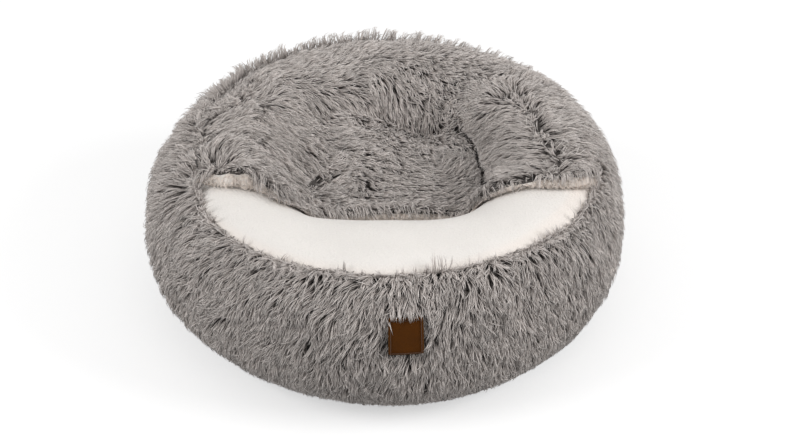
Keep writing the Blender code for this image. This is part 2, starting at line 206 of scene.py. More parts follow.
# The hem's roll: x in seam radii, share of the full roll, and how far the pile hangs over it
HEM_FORM = (
    (-0.97, 0.45, 0.020),
    (-0.93, 0.60, 0.012),
    (-0.88, 0.80, -0.001),
    (-0.82, 0.95, -0.004),
    (-0.70, 1.00, -0.004),
    (-0.65, 0.75, 0.002),
    (-0.60, 0.50, 0.014),
    (-0.55, 0.40, 0.022),
    (-0.43, 0.30, 0.024),
    (-0.33, 0.30, 0.015),
    (-0.26, 0.42, 0.003),
    (0.00, 0.50, 0.001),
    (0.30, 0.50, 0.001),
    (0.40, 0.32, 0.013),
    (0.48, 0.20, 0.012),
    (0.52, 0.15, 0.004),
    (0.62, 0.15, 0.001),
    (0.70, 0.40, 0.001),
    (0.80, 0.70, 0.005),
    (0.90, 0.95, 0.004),
    (0.97, 0.60, 0.004),
)
HEM_ROLL_DEPTH = 0.0062
HEM_WOBBLE = 0.09
HEM_WAVE = 0.032

# How far behind the roll the cloth rises and is thick, in radii of the roll
HEM_BEHIND = 2.2
HEM_UNDER = 1.6

# The roll's cream pile: the width it covers and the distance from one tuft to the next
HEM_PILE_ARC = 0.016
HEM_PILE_SPACING = 0.0027

# The fringe behind the hem: distance along it for each tuft, mean length that strands stray past
# it, how far they stay over the ring's plush, and their heading in degrees by x in seam radii
FRINGE_SPACING = 0.0019
FRINGE_STRAY = 0.0015
FRINGE_REST = 0.0005
FRINGE_NAP = (
    (-0.97, -95),
    (-0.82, -85),
    (-0.66, -68),
    (-0.58, -38),
    (-0.40, -36),
    (-0.28, -58),
    (0.00, -85),
    (0.38, -105),
    (0.48, -128),
    (0.58, -120),
    (0.72, -95),
    (0.97, -80),
)

# The label, as in the solids
LABEL_WIDTH = 0.040
LABEL_HEIGHT = 0.044
LABEL_THICKNESS = 0.0016
LABEL_CENTRE_HEIGHT = 0.139
LABEL_OFFSET_X = 0.024

# Which way the hood's pile lies: x and y in seam radii, heading of the tips in degrees from +X
HOOD_NAP_SHARES = (
    (-0.45, 0.65, 27),
    (-0.33, 0.65, 12),
    (-0.20, 0.65, -2),
    (-0.08, 0.65, -60),
    (0.05, 0.65, -62),
    (0.17, 0.65, -38),
    (0.42, 0.65, -46),
    (0.55, 0.65, -20),
    (-0.20, 0.85, 30),
    (0.10, 0.90, 25),
    (0.40, 0.85, -10),
    (-0.70, 0.44, 50),
    (-0.58, 0.44, -20),
    (-0.45, 0.44, -45),
    (-0.33, 0.44, -25),
    (-0.20, 0.44, -56),
    (-0.08, 0.44, -70),
    (0.05, 0.44, -80),
    (0.17, 0.44, -70),
    (0.30, 0.44, -40),
    (0.55, 0.44, 155),
    (0.72, 0.48, 25),
    (0.60, 0.62, 35),
    (-0.83, 0.26, 45),
    (-0.70, 0.26, -44),
    (-0.58, 0.26, 5),
    (-0.45, 0.26, -28),
    (-0.33, 0.26, -20),
    (-0.20, 0.26, 0),
    (-0.08, 0.26, -44),
    (0.05, 0.26, -66),
    (0.17, 0.26, -48),
    (0.30, 0.26, -58),
    (0.55, 0.26, -165),
    (0.62, 0.26, 165),
    (0.78, 0.30, 15),
    (0.90, 0.30, 10),
    (-0.83, 0.08, -5),
    (-0.70, 0.08, -42),
    (-0.58, 0.08, -29),
    (-0.45, 0.08, -33),
    (-0.33, 0.08, 6),
    (-0.20, 0.08, -23),
    (-0.05, 0.08, -46),
    (0.10, 0.08, -30),
    (0.30, 0.08, 25),
    (0.55, 0.08, -146),
    (0.64, 0.08, 165),
    (0.82, 0.10, 5),
    (0.95, 0.10, -25),
    (-0.70, -0.06, -50),
    (-0.58, -0.06, -53),
    (-0.33, -0.06, 10),
    (-0.20, -0.06, -60),
    (0.05, -0.06, -45),
    (0.17, -0.06, -13),
    (0.35, -0.06, -10),
    (0.64, -0.06, -170),
    (0.88, -0.08, -30),
    (0.92, -0.20, -60),
    (0.62, -0.22, 165),
    (0.70, -0.28, -130),
    (-0.45, -0.25, -51),
    (-0.20, -0.25, -28),
    (0.00, -0.25, -25),
    (0.17, -0.25, -22),
    (0.35, -0.25, -20),
    (-0.93, -0.31, -95),
    (-0.86, -0.30, -60),
    (0.50, -0.30, -60),
    (0.85, -0.30, -90),
)

# How the ring's pile lies, by azimuth in degrees: its lean from straight down, clockwise from
# above, at the crest and at the foot in degrees, and how tall it stands at the crest
RING_NAP = (
    (0, 10, 5, 1.3),
    (45, 40, 20, 2.2),
    (90, 55, 25, 3.0),
    (135, 50, 20, 2.5),
    (160, 40, 15, 1.6),
    (180, 30, 10, 1.25),
    (225, 25, 8, 1.0),
    (270, 18, 5, 1.0),
    (290, 0, 0, 1.0),
    (315, 0, 0, 1.0),
    (360, 10, 5, 1.3),
)
RING_NAP_RUN = 0.20
RING_STAND_RUN = 0.10

# Where the ring's pile starts to shorten towards the foot, and over what run
FOOT_RUN = 0.11
FOOT_REACH = 0.08

# Locks flicked over the crest seam: azimuth in degrees, run, heading in degrees, length and rise
CREST_FLICKS = (
    (243.0, 0.002, 150, 0.016, 0.010),
    (281.5, 0.001, 215, 0.017, 0.012),
    (283.0, 0.002, 222, 0.021, 0.014),
    (284.0, 0.000, 208, 0.018, 0.015),
    (285.5, 0.001, 228, 0.020, 0.012),
    (288.0, 0.002, 235, 0.016, 0.010),
    (290.5, 0.001, 225, 0.018, 0.013),
    (292.0, 0.000, 215, 0.015, 0.012),
    (327.0, 0.001, 190, 0.012, 0.010),
)
CREST_SPACING = 0.0020

# Tufts sown along the crest seam, at the back and the sides to lean in over the hood's border, and
# at the front to lie out over the seam: from and to azimuth in degrees, how many, least and most
# run, spread of heading in radians, least and most length and rise as shares of the pile's, and
# whether they lie out
SEAM_TUFTS = (
    (72, 170, 360, (0.0005, 0.0045), 0.6, (0.40, 0.70), (0.90, 1.45), False),
    (-26, 72, 270, (0.0005, 0.0045), 0.6, (0.35, 0.58), (0.55, 0.90), False),
    (170, 206, 95, (0.0005, 0.0045), 0.6, (0.35, 0.58), (0.55, 0.90), False),
    (192, 348, 460, (-0.0035, 0.0005), 0.5, (0.45, 0.75), (0.55, 0.90), True),
)

# Lines that the pile parts or sinks along: corners in seam radii, reach in metres, how far the pile
# turns away from the line, and how much shorter and lower it is on it
PARTINGS = (
    (((-0.93, -0.290), (-0.90, -0.285)), 0.050, 1.0, 0.7),
    (((-0.97, -0.10), (-0.975, 0.01), (-0.99, 0.14)), 0.014, 0.5, 0.6),
    (((-0.96, 0.25), (-0.87, 0.295), (-0.81, 0.363)), 0.016, 0.6, 0.6),
    (((-0.81, 0.363), (-0.785, 0.457), (-0.745, 0.52)), 0.014, 0.3, 0.5),
    (((0.603, 0.383), (0.654, 0.380)), 0.016, 0.36, 0.70),
    (((0.654, 0.380), (0.688, 0.265), (0.721, 0.083)), 0.011, 0.14, 0.38),
    (((0.735, 0.000), (0.750, -0.060)), 0.017, 0.30, 0.55),
    (((0.792, -0.180), (0.800, -0.200)), 0.026, 0.62, 0.7),
    (((0.740, -0.310), (0.770, -0.32)), 0.026, 0.60, 0.6),
    (
        ((0.344, 0.381), (0.399, 0.321), (0.441, 0.214), (0.470, 0.052), (0.490, -0.062)),
        0.012,
        0.0,
        0.80,
    ),
    (((0.490, -0.062), (0.500, -0.200), (0.498, -0.350)), 0.014, 0.0, 0.85),
    (((-0.440, -0.118), (-0.375, 0.005)), 0.014, 0.0, 0.85),
    (((-0.407, -0.100), (-0.334, 0.032)), 0.012, 0.0, 0.4),
)

# Tufts that stand along the turned partings: distance along the line for each, the fewest on a
# line, and how far they lie off it
VALLEY_SPACING = 0.0022
VALLEY_LEAST = 5
VALLEY_SPREAD = 0.0035

# How far headings ruffle on a parting, in radians, and how far off it that reaches
RUFFLE = 0.9
RUFFLE_REACH = 0.007

# Deep creases that no strand of the hood crosses: corners in seam radii, and how far off the pile
# stays
CREASES = (
    (((0.344, 0.381), (0.401, 0.315), (0.437, 0.229)), 0.0022),
    (((0.437, 0.229), (0.465, 0.094), (0.484, -0.036)), 0.0030),
    (((0.484, -0.036), (0.487, -0.150), (0.490, -0.268)), 0.0045),
    (((0.490, -0.268), (0.505, -0.335)), 0.0050),
    (((0.545, -0.332), (0.600, -0.328), (0.640, -0.324)), 0.0030),
    (((-0.440, -0.118), (-0.413, -0.047), (-0.375, 0.005)), 0.0040),
)

# Each strand: places along it, and its width there
STATIONS = np.array([0.0, 0.34, 0.70, 1.0])
STATION_WIDTHS = np.array([0.75, 1.0, 0.72])
STRAND_FACES = np.array(
    [(0, 2, 1)]
    + [
        face
        for ring in (0, 3)
        for side in range(3)
        for face in (
            (ring + side, ring + (side + 1) % 3, ring + 3 + (side + 1) % 3),
            (ring + side, ring + 3 + (side + 1) % 3, ring + 3 + side),
        )
    ]
    + [(6, 7, 9), (7, 8, 9), (8, 6, 9)]
)

# How many pieces the ring's pile is grown in, the share of a parting's reach in which the pile is
# shorter, and how far strands stay over the floor
RING_SECTORS = 8
PIT_SHARE = 0.35
FLOOR_CLEARANCE = 0.0006

# How a tuft and a strand differ from the rest: spreads of heading in radians and of bend, the drift
# of headings over the cloth, the share of strands that stray and their own spread, and a tuft's
# radius as a share of the spacing
TUFT_TURN, STRAND_TURN = math.radians(9), math.radians(5)
TUFT_BEND, STRAND_BEND = 0.26, 0.10
DRIFT_TURN = math.radians(11)
STRAY_SHARE = 0.12
STRAY_TURN = math.radians(24)
TUFT_RADIUS = 0.62

# How far tufts are moved from their places, in spacings, on the ring and on the hood
RING_JITTER = 0.38
HOOD_JITTER = 0.4

# The run of the ring's first row of tufts, and how far inside the seam the hood's tufts stay
FIRST_ROW = 0.0015
SEAM_MARGIN = 0.002

# The hood's lattice: how much fuller it is than flat cloth needs, and the steps of the even order
# in which it is thinned
HOOD_CROWDING = 1.6
THINNING_STEPS = (0.7549, 0.5698)

# How fully the hood's pile stands by the seam, by azimuth in degrees, and how far in from the seam
# it is lower where that is under 1
HOOD_MERGED = ((-40, 1), (-20, 1), (35, 1), (70, 0.8), (110, 0.6), (150, 0))
MERGING = 0.035

# How far the pile comes over the label's sides and top, how high it stands above it, and the margin
# round it where it lies low
LABEL_SIDE_OVERLAP = 0.0015
LABEL_TOP_OVERLAP = 0.0085
LABEL_STAND = 0.0165
LABEL_MARGIN = 0.006

# The floor: its colour to the light that falls on the bed, and, as the camera sees it, the share
# that takes shadow and the even white under it; then its reach from the middle and how far it lies
# under the bed
FLOOR_BOUNCE = 0.28
FLOOR_SHADE = 0.60
FLOOR_GLOW = 0.52
FLOOR_REACH = 6.0
FLOOR_DEPTH = 0.0002

# The light: the world's strength to the light that falls on the bed, and each lamp's name, place
# and power; then the camera's aim, elevation, distance, lens and sensor in millimetres, and its
# shift in pixels of the photo's width
WORLD_STRENGTH = 0.47
LAMP_SIZE = 1.8
LAMPS = (
    ("left", (-2.5, -0.9, 1.8), 43.0),
    ("right", (2.8, -0.7, 1.6), 61.0),
    ("top", (0.1, -0.6, 2.8), 3.0),
)
AIM = (0, 0, 0.1)
CAMERA_ELEVATION = math.radians(35)
CAMERA_DISTANCE = 2.3
CAMERA_LENS, CAMERA_SENSOR = 85.0, 36.0
CAMERA_SHIFT = (8.0, -4.5)
PHOTO_WIDTH = 785


def length(name, description, default):
    return bpy.props.FloatProperty(
        name=name, description=description, default=default, unit="LENGTH", min=0, precision=4
    )


def share(name, description, default):
    return bpy.props.FloatProperty(
        name=name, description=description, default=default, subtype="FACTOR", min=0, max=1
    )


def colour(name, description, default):
    return bpy.props.FloatVectorProperty(
        name=name, description=description, default=default, subtype="COLOR", size=3, min=0, max=1
    )


class BedSizes(bpy.types.PropertyGroup):
    """Sizes of the cloth and the pile."""

    backing: length("Backing", "Thickness of the cloth that the long pile grows from", 0.0020)
    tuft_spacing: length("Tuft spacing", "Distance from one tuft of pile to the next", 0.0050)
    hood_spacing: length(
        "Hood tuft spacing", "Distance from one tuft to the next on the hood", 0.0047
    )
    tuft_strands: bpy.props.IntProperty(
        name="Strands in a tuft", description="Number of strands in a tuft", default=5, min=1
    )
    ring_pile: length("Ring pile", "Length of the ring's long pile", 0.0235)
    hood_pile: length("Hood pile", "Length of the hood's long pile", 0.0215)
    pile_rise: length("Pile rise", "How high the pile's tips lie over the cloth", 0.0110)
    strand_width: length("Strand width", "Width of one strand where it is widest", 0.00120)
    gather: share("Gather", "How far the strands of a tuft come together at its tip", 0.74)
    hem_roll: length("Hem roll", "Radius of the hood's rolled hem where it is thickest", 0.0080)
    hem_pile: length("Hem pile", "Length of the cream pile on the rolled hem", 0.0075)


class BedColours(bpy.types.PropertyGroup):
    """Colours of the finishes."""

    # The root's dark colour is partly the pile's own and partly painted shade deep in the pile
    fur_root: colour("Fur root", "Long pile next to the cloth", (0.180, 0.161, 0.150))
    fur_middle: colour("Fur middle", "Long pile half-way up", (0.580, 0.527, 0.496))
    fur_tip: colour("Fur tip", "Tips of the long pile", (0.850, 0.799, 0.766))
    # The backing's dark colour is partly painted shade, for the gaps between the tufts
    backing: colour("Backing", "Cloth under the long pile", (0.100, 0.090, 0.084))
    plush: colour("Plush", "Short cream pile", (0.905, 0.868, 0.828))
    fibre: colour("Fibre", "Stuffing", (0.85, 0.85, 0.83))
    base: colour("Base cloth", "Cloth under the bed", (0.045, 0.045, 0.050))
    dots: colour("Grip dots", "Raised dots under the bed", (0.012, 0.012, 0.013))
    # The hem's beige is painted shade: the cream pile where the long pile lies over it
    hem: colour(
        "Hem",
        "Cream pile where it is matted, on the hem and along the crest seam",
        (0.93, 0.84, 0.77),
    )
    label: colour("Label", "Leatherette of the label", (0.084, 0.025, 0.001))
    label_edge: colour("Label edge", "Cut edge of the label", (0.060, 0.028, 0.006))
    label_thread: colour("Label thread", "Thread round the label", (0.070, 0.030, 0.012))
    tack_thread: colour("Tack thread", "Thread of the hood's corner tacks", (0.060, 0.052, 0.047))


# ---------------------------------------------------------------------------------------------
# Surfaces


def smooth(part):
    """Smoothstep of a part: 0 below 0, 1 above 1, and 3p^2 - 2p^3 between."""
    part = np.clip(part, 0, 1)
    return part * part * (3 - 2 * part)


def section(angle, outset=0.0):
    """Ring's section, a superellipse: radius R + a*sgn(cos)|cos|^(2/n), height H +
    b*sgn(sin)|sin|^(2/n), with its half width a and half height b both grown by the outset."""
    power = 2 / SQUARENESS
    cosine, sine = np.cos(angle), np.sin(angle)
    across = (HALF_WIDTH + outset) * np.sign(cosine) * np.abs(cosine) ** power
    up = (HALF_HEIGHT + outset) * np.sign(sine) * np.abs(sine) ** power
    return RING_RADIUS + across, RING_HEIGHT + up


def spline(points, parameter):
    """Catmull-Rom curve through points at parameters from 0 to 1: each stretch is the cubic that
    leaves a point along the line between its two neighbours."""
    points = np.asarray(points, float)
    position = np.clip(parameter, 0, 1) * (len(points) - 1)
    first = np.minimum(position.astype(int), len(points) - 2)
    step = (position - first)[:, None]
    ends = np.vstack([2 * points[0] - points[1], points, 2 * points[-1] - points[-2]])
    a, b, c, d = (ends[first + k] for k in range(4))
    square, cube = 2 * a - 5 * b + 4 * c - d, 3 * b - a - 3 * c + d
    return (2 * b + (c - a) * step + square * step**2 + cube * step**3) / 2


HEM = spline(np.array(HEM_SHARES) * SEAM_RADIUS, np.linspace(0, 1, 120))
CORNER_X = SEAM_RADIUS * math.cos(CORNER_ANGLE)
CORNER_Y = -SEAM_RADIUS * math.sin(CORNER_ANGLE)


def hem_y(x):
    """Hood's front edge in plan, the spline through the hem's points."""
    return np.interp(x, HEM[:, 0], HEM[:, 1])


def hem_form(x):
    """Radius of the hem's roll and the pile's overhang, along the hem."""
    form = np.array(HEM_FORM)
    across = x / SEAM_RADIUS
    radius = bpy.context.scene.bed_sizes.hem_roll * np.interp(across, form[:, 0], form[:, 1])
    radius = radius * (1 + HEM_WOBBLE * drift(x[..., None], HEM_WAVE, 9))
    return radius, np.interp(across, form[:, 0], form[:, 2])


def over_roll(x, y):
    """How far the hem's roll lifts what lies over it: ahead of the hem a quarter ellipse, which
    goes on straight down where it gets steep, and behind the hem a squared cosine."""
    radius = hem_form(x)[0]
    off = (y - hem_y(x)) / radius
    steep = 0.92
    ahead = np.sqrt(1 - np.minimum(np.abs(off), steep) ** 2)
    ahead -= np.maximum(-off - steep, 0) * steep / math.sqrt(1 - steep**2)
    behind = np.cos(np.clip(off / HEM_BEHIND, 0, 1) * math.pi / 2) ** 2
    return radius * np.where(off < 0, ahead, behind)


def plate_kernel(squared):
    """Thin-plate kernel, squared distance times its logarithm."""
    return squared * np.log(np.maximum(squared, 1e-12))


def plate_weights(points):
    """Weights of the surface that bends least through points of (x, y, height)."""
    count = len(points)
    flat = np.column_stack([np.ones(count), points[:, :2]])
    apart = ((points[:, None, :2] - points[None, :, :2]) ** 2).sum(axis=2)
    system = np.zeros((count + 3, count + 3))
    system[:count, :count] = plate_kernel(apart)
    system[:count, count:] = flat
    system[count:, :count] = flat.T
    return np.linalg.solve(system, np.concatenate([points[:, 2], np.zeros(3)]))


def hood_controls():
    """Points that the hood's cloth passes through: the shape's own, and a level row along the
    seam."""
    angles = np.linspace(-CORNER_ANGLE, math.pi + CORNER_ANGLE, HOOD_EDGE_STEPS)
    edge = np.column_stack(
        [np.cos(angles), np.sin(angles), np.full(len(angles), HOOD_EDGE_HEIGHT_SHARE)]
    )
    return np.vstack([np.array(HOOD_SHAPE_SHARES), edge])


CONTROLS = hood_controls()
WEIGHTS = plate_weights(CONTROLS)


def lining_height(x, y):
    """Height of the ring's plush over (x, y), by the ring's section."""
    outset = GAP + LINING_PILE
    inward = np.clip(np.abs(np.hypot(x, y) - RING_RADIUS) / (HALF_WIDTH + outset), 0, 1)
    return RING_HEIGHT + (HALF_HEIGHT + outset) * (1 - inward**SQUARENESS) ** (1 / SQUARENESS)


def hood_height(x, y):
    """Hood's cloth, between its plush and its backing: the smooth maximum of a thin plate through
    the controls and of the ring's lining with a clearance, (p + q + sqrt((p - q)^2 + d^2)) / 2."""
    across, along = x / SEAM_RADIUS, y / SEAM_RADIUS
    apart = (across[..., None] - CONTROLS[:, 0]) ** 2 + (along[..., None] - CONTROLS[:, 1]) ** 2
    hanging = plate_kernel(apart) @ WEIGHTS[: len(CONTROLS)]
    hanging = RIM_HEIGHT * (hanging + WEIGHTS[-3] + WEIGHTS[-2] * across + WEIGHTS[-1] * along)
    resting = lining_height(x, y) + HOOD_CLEARANCE + HOOD_PLUSH
    return (hanging + resting + np.sqrt((hanging - resting) ** 2 + HOOD_DRAPE**2)) / 2


def draped_height(x, y):
    """Hood's cloth over the hem's roll, then down before the roll, but never under the ring's
    plush."""
    falling = hood_height(x, np.maximum(y, hem_y(x))) + over_roll(x, y)
    return np.maximum(falling, lining_height(x, y) + FRINGE_REST)


def hood_surface(x, y):
    """Point on the hood's backing over (x, y), and the normal there, from differences of the
    height."""
    step = 0.0005
    lift = bpy.context.scene.bed_sizes.backing
    slope_x = (draped_height(x + step, y) - draped_height(x - step, y)) / (2 * step)
    slope_y = (draped_height(x, y + step) - draped_height(x, y - step)) / (2 * step)
    normal = np.stack([-slope_x, -slope_y, np.ones_like(slope_x)], axis=-1)
    normal /= np.linalg.norm(normal, axis=-1, keepdims=True)
    point = np.stack([x, y, draped_height(x, y)], axis=-1) + normal * lift
    return point, normal


def ring_table():
    """Ring's section by the distance run along it from the crest seam, outwards and down, and past
    the base seam straight on: columns of run, radius, height and the normal's two parts. Inside the
    seam it climbs onto the lining's pile."""
    backing = bpy.context.scene.bed_sizes.backing
    angles = np.linspace(CREST_ANGLE + 1.1, BASE_ANGLE, 400)
    lift = GAP + backing + (LINING_PILE - backing) * smooth((angles - CREST_ANGLE) / 0.12)
    radius, height = section(angles, lift)
    run = np.concatenate([[0], np.cumsum(np.hypot(np.diff(radius), np.diff(height)))])
    run -= np.interp(-CREST_ANGLE, -angles, run)
    along_r, along_z = np.gradient(radius, run), np.gradient(height, run)
    table = np.column_stack([run, radius, height, -along_z, along_r])
    beyond = 0.05
    last = table[-1].copy()
    last[:3] += beyond * np.array([1, along_r[-1], along_z[-1]])
    return np.vstack([table, last])


def ring_surface(azimuth, run):
    """Point on the ring's backing at an azimuth and a run from the crest seam, and the normal
    there."""
    table = ring_table()
    radius, height, out, up = (np.interp(run, table[:, 0], table[:, k]) for k in range(1, 5))
    size = np.hypot(out, up)
    out, up = out / size, up / size
    cosine, sine = np.cos(azimuth), np.sin(azimuth)
    point = np.stack([radius * cosine, radius * sine, height], axis=-1)
    return point, np.stack([out * cosine, out * sine, up], axis=-1)


def cover_radius(height, pressed):
    """Radius of the ring's pressed pile at a height, a superellipse grown by the pile."""
    inward = np.clip(np.abs(height - RING_HEIGHT) / (HALF_HEIGHT + pressed), 0, 1)
    return RING_RADIUS + GAP + (HALF_WIDTH + pressed) * (1 - inward**SQUARENESS) ** (1 / SQUARENESS)


# ---------------------------------------------------------------------------------------------
# Meshes


def nested(vertices):
    """Points moved along X with the nest: all the way over it, and by a smoothstep of the radius
    not at all at the bed's outside. The crest seam isn't quite a circle, so points near it are also
    pushed out or in by its azimuth, by smoothsteps of the radius that fade to nothing on both
    sides. The front of the lining swells into the nest in the same way, and is hollower left of
    that. Low down, the ring draws in towards where it stands, by a smoothstep of the height."""
    moved = np.array(vertices, float)
    radius = np.hypot(moved[:, 0], moved[:, 1])
    azimuth = np.degrees(np.arctan2(moved[:, 1], moved[:, 0])) % 360
    pushes = np.array(SEAM_PUSHES, float)
    inner = smooth((radius - PUSH_START) / (SEAM_RADIUS - PUSH_START))
    outer = 1 - smooth((radius - SEAM_RADIUS) / (BED_RADIUS - SEAM_RADIUS))
    push = np.interp(azimuth, pushes[:, 0], pushes[:, 1]) * inner * outer
    front = 1 - smooth(np.abs(azimuth - 270) / BULGE_TURN)
    left = 1 - smooth(np.abs(azimuth - HOLLOW_AZIMUTH) / HOLLOW_TURN)
    swell = 1 - smooth(np.abs(radius - BULGE_RADIUS) / BULGE_REACH)
    push += (HOLLOW * left - BULGE * front) * swell
    pinches = np.array(FOOT_PINCHES)
    low = (1 - smooth(moved[:, 2] / PINCH_HEIGHT)) * smooth((radius - PINCH_START) / PINCH_START)
    push -= np.interp(azimuth, pinches[:, 0], pinches[:, 1]) * low
    moved[:, :2] *= (1 + push / np.maximum(radius, BULGE_REACH))[:, None]
    out = (radius - RING_RADIUS) / (BED_RADIUS - RING_RADIUS)
    moved[:, 0] += OPENING_SHIFT * (1 - smooth(out))
    return moved


def put_mesh(name, vertices, faces, uv=None, rounded=True):
    """Mesh object from arrays of points, which move with the nest, and of faces with equal numbers
    of corners."""
    mesh = bpy.data.meshes.new(name)
    vertices = nested(vertices)
    each = faces.shape[1]
    mesh.vertices.add(len(vertices))
    mesh.vertices.foreach_set("co", np.ascontiguousarray(vertices, np.float32).ravel())
    mesh.loops.add(faces.size)
    mesh.loops.foreach_set("vertex_index", np.ascontiguousarray(faces, np.int32).ravel())
    mesh.polygons.add(len(faces))
    mesh.polygons.foreach_set("loop_start", np.arange(0, faces.size, each, dtype=np.int32))
    mesh.update(calc_edges=True)
    mesh.polygons.foreach_set("use_smooth", np.full(len(faces), rounded))
    if uv is not None:
        layer = mesh.uv_layers.new(name=FUR_MAP)
        layer.uv.foreach_set("vector", np.ascontiguousarray(uv[faces.ravel()], np.float32).ravel())
    obj = bpy.data.objects.new(name, mesh)
    bpy.context.scene.collection.objects.link(obj)
    return obj


def clean(obj):
    """Merges doubled points, drops faces that closed up, and turns every face outwards."""
    made = bmesh.new()
    made.from_mesh(obj.data)
    bmesh.ops.remove_doubles(made, verts=made.verts, dist=1e-6)
    bmesh.ops.dissolve_degenerate(made, edges=made.edges, dist=1e-7)
    bmesh.ops.recalc_face_normals(made, faces=made.faces)
    made.to_mesh(obj.data)
    made.free()
    return obj


def grid_faces(rows, columns, start=0, close_rows=False, close_columns=False):
    """Four-cornered faces over a grid of points held row by row."""
    r = np.arange(rows if close_rows else rows - 1)[:, None]
    c = np.arange(columns if close_columns else columns - 1)[None, :]
    here, over = r * columns, ((r + 1) % rows) * columns
    beside = (c + 1) % columns
    quads = np.stack([here + c, here + beside, over + beside, over + c], axis=-1)
    return quads.reshape(-1, 4) + start


def sheet_mesh(name, lower, upper):
    """Closed cloth between two grids of points of the same shape, walled round its border."""
    rows, columns = lower.shape[:2]
    count = rows * columns
    index = np.arange(count).reshape(rows, columns)
    border = np.concatenate([index[0, :], index[1:, -1], index[-1, -2::-1], index[-2:0:-1, 0]])
    after = np.roll(border, -1)
    walls = np.stack([border, after, after + count, border + count], axis=-1)
    bottom = grid_faces(rows, columns)[:, ::-1]
    top = grid_faces(rows, columns, count)
    points = np.concatenate([lower.reshape(-1, 3), upper.reshape(-1, 3)])
    return clean(put_mesh(name, points, np.concatenate([bottom, top, walls])))


def turned_mesh(name, profile, steps):
    """Profile of (radius, height), carried round +Z as a closed band of whole turns."""
    turn = np.linspace(0, 2 * math.pi, steps, endpoint=False)
    points = np.stack(
        [
            profile[:, None, 0] * np.cos(turn),
            profile[:, None, 0] * np.sin(turn),
            np.broadcast_to(profile[:, None, 1], (len(profile), steps)),
        ],
        axis=-1,
    )
    faces = grid_faces(len(profile), steps, close_rows=True, close_columns=True)
    return clean(put_mesh(name, points.reshape(-1, 3), faces))


def panel_profile(start, end, steps, full, edge):
    """Closed section of a panel on the ring: back at the stuffing, face grown by its pile, which
    thins towards both seams as a quarter sine."""
    angles = np.linspace(start, end, steps)
    along = np.linspace(0, 1, steps)
    near = np.clip(np.minimum(along, 1 - along) / 0.1, 0, 1)
    pile = edge + (full - edge) * np.sin(near * math.pi / 2)
    back = np.column_stack(section(angles, GAP))
    face = np.column_stack(section(angles, GAP + pile))
    return np.vstack([back, face[::-1]])


def hood_plan(side, up, columns):
    """Plan of one part of the hood as a grid of (x, y): the middle is straight columns from the hem
    to the seam; a side is rows from the middle's edge to the seam, with the hem's bend fading
    upwards."""
    up = up[:, None]
    if side == "middle":
        x = np.linspace(-FLAP_LEFT, FLAP_RIGHT, columns)[None, :] + 0 * up
        low = hem_y(x)
        return x, low + up * (np.sqrt(SEAM_RADIUS**2 - x**2) - low)
    inner = -FLAP_LEFT if side == "left" else FLAP_RIGHT
    sign = math.copysign(1, inner)
    top_angle = math.acos(abs(inner) / SEAM_RADIUS)
    angle = -CORNER_ANGLE + up * (top_angle + CORNER_ANGLE)
    outer_x, outer_y = sign * SEAM_RADIUS * np.cos(angle), SEAM_RADIUS * np.sin(angle)
    low = hem_y(inner)
    inner_y = low + up * (math.sqrt(SEAM_RADIUS**2 - inner**2) - low)
    across = np.linspace(0, 1, columns)[None, :]
    x = inner + across * (outer_x - inner)
    straight = low + across * (CORNER_Y - low)
    hem = hem_y(inner + across * (sign * CORNER_X - inner))
    hem[:, -1] = CORNER_Y
    y = inner_y + across * (outer_y - inner_y) + (1 - up) ** 2 * (hem - straight)
    return x, y


# ---------------------------------------------------------------------------------------------
# Long pile


def unit(vectors):
    """Vectors at a length of 1."""
    return vectors / np.maximum(np.linalg.norm(vectors, axis=-1, keepdims=True), 1e-12)


def drift(place, wavelength, seed):
    """Smooth noise of about unit spread: the sum of nine waves, each with its own direction and
    phase and a length near the one given."""
    rng = np.random.default_rng(seed)
    waves = unit(rng.normal(size=(9, place.shape[-1]))) * rng.uniform(0.7, 1.4, (9, 1))
    phases = rng.uniform(0, 2 * math.pi, 9)
    angles = place @ waves.T * (2 * math.pi / wavelength) + phases
    return np.sin(angles).sum(axis=-1) * math.sqrt(2 / 9)


def strand_paths(surface, pile):
    """Strands' places at the stations: each runs its length ahead over the surface, bends aside by
    the square of the run, closes on its tuft by the power 0.8 and rises by 1 - (1 - t)^2.2."""
    t = STATIONS[None, :]
    keep = 1 - pile["gather"][:, None] * t**0.8
    run = pile["length"][:, None]
    along = pile["off_ahead"][:, None] * keep + run * t
    across = pile["off_aside"][:, None] * keep + run * (pile["bend"][:, None] * t**2 / 2)
    place = (
        pile["root"][:, None, :]
        + along[..., None] * pile["ahead"][:, None, :]
        + across[..., None] * pile["aside"][:, None, :]
    )
    point, normal = surface(place[..., 0], place[..., 1])
    rise = pile["rise"][:, None] * (1 - (1 - t) ** 2.2)
    return point + normal * rise[..., None], normal


def strand_mesh(name, points, normals, pile):
    """Closed three-sided strands along their points, with u the strand's tone and v its length's
    share."""
    tangent = np.empty_like(points)
    tangent[:, 1:-1] = points[:, 2:] - points[:, :-2]
    tangent[:, 0] = points[:, 1] - points[:, 0]
    tangent[:, -1] = points[:, -1] - points[:, -2]
    tangent = unit(tangent)
    side = unit(np.cross(normals, tangent))
    up = np.cross(tangent, side)
    roll = pile["roll"][:, None, None]
    side, up = side * np.cos(roll) + up * np.sin(roll), up * np.cos(roll) - side * np.sin(roll)
    half = (pile["width"][:, None] / 2 * STATION_WIDTHS)[..., None]
    centre, side, up = points[:, :3], side[:, :3], up[:, :3]
    rings = np.stack([centre - side * half, centre + side * half, centre + up * half * 0.9], axis=2)
    count = len(points)
    vertices = np.concatenate([rings.reshape(count, 9, 3), points[:, 3:]], axis=1)
    faces = STRAND_FACES[None] + 10 * np.arange(count)[:, None, None]
    uv = np.empty((count, 10, 2))
    uv[:, :9, 0] = pile["tone"][:, None] + np.tile([-0.002, 0.002, 0.0], 3)
    uv[:, 9, 0] = pile["tone"]
    uv[:, :9, 1] = np.repeat(STATIONS[:3], 3)
    uv[:, 9, 1] = 1
    vertices[..., 2] = np.maximum(vertices[..., 2], FLOOR_CLEARANCE)
    return put_mesh(name, vertices.reshape(-1, 3), faces.reshape(-1, 3), uv.reshape(-1, 2))


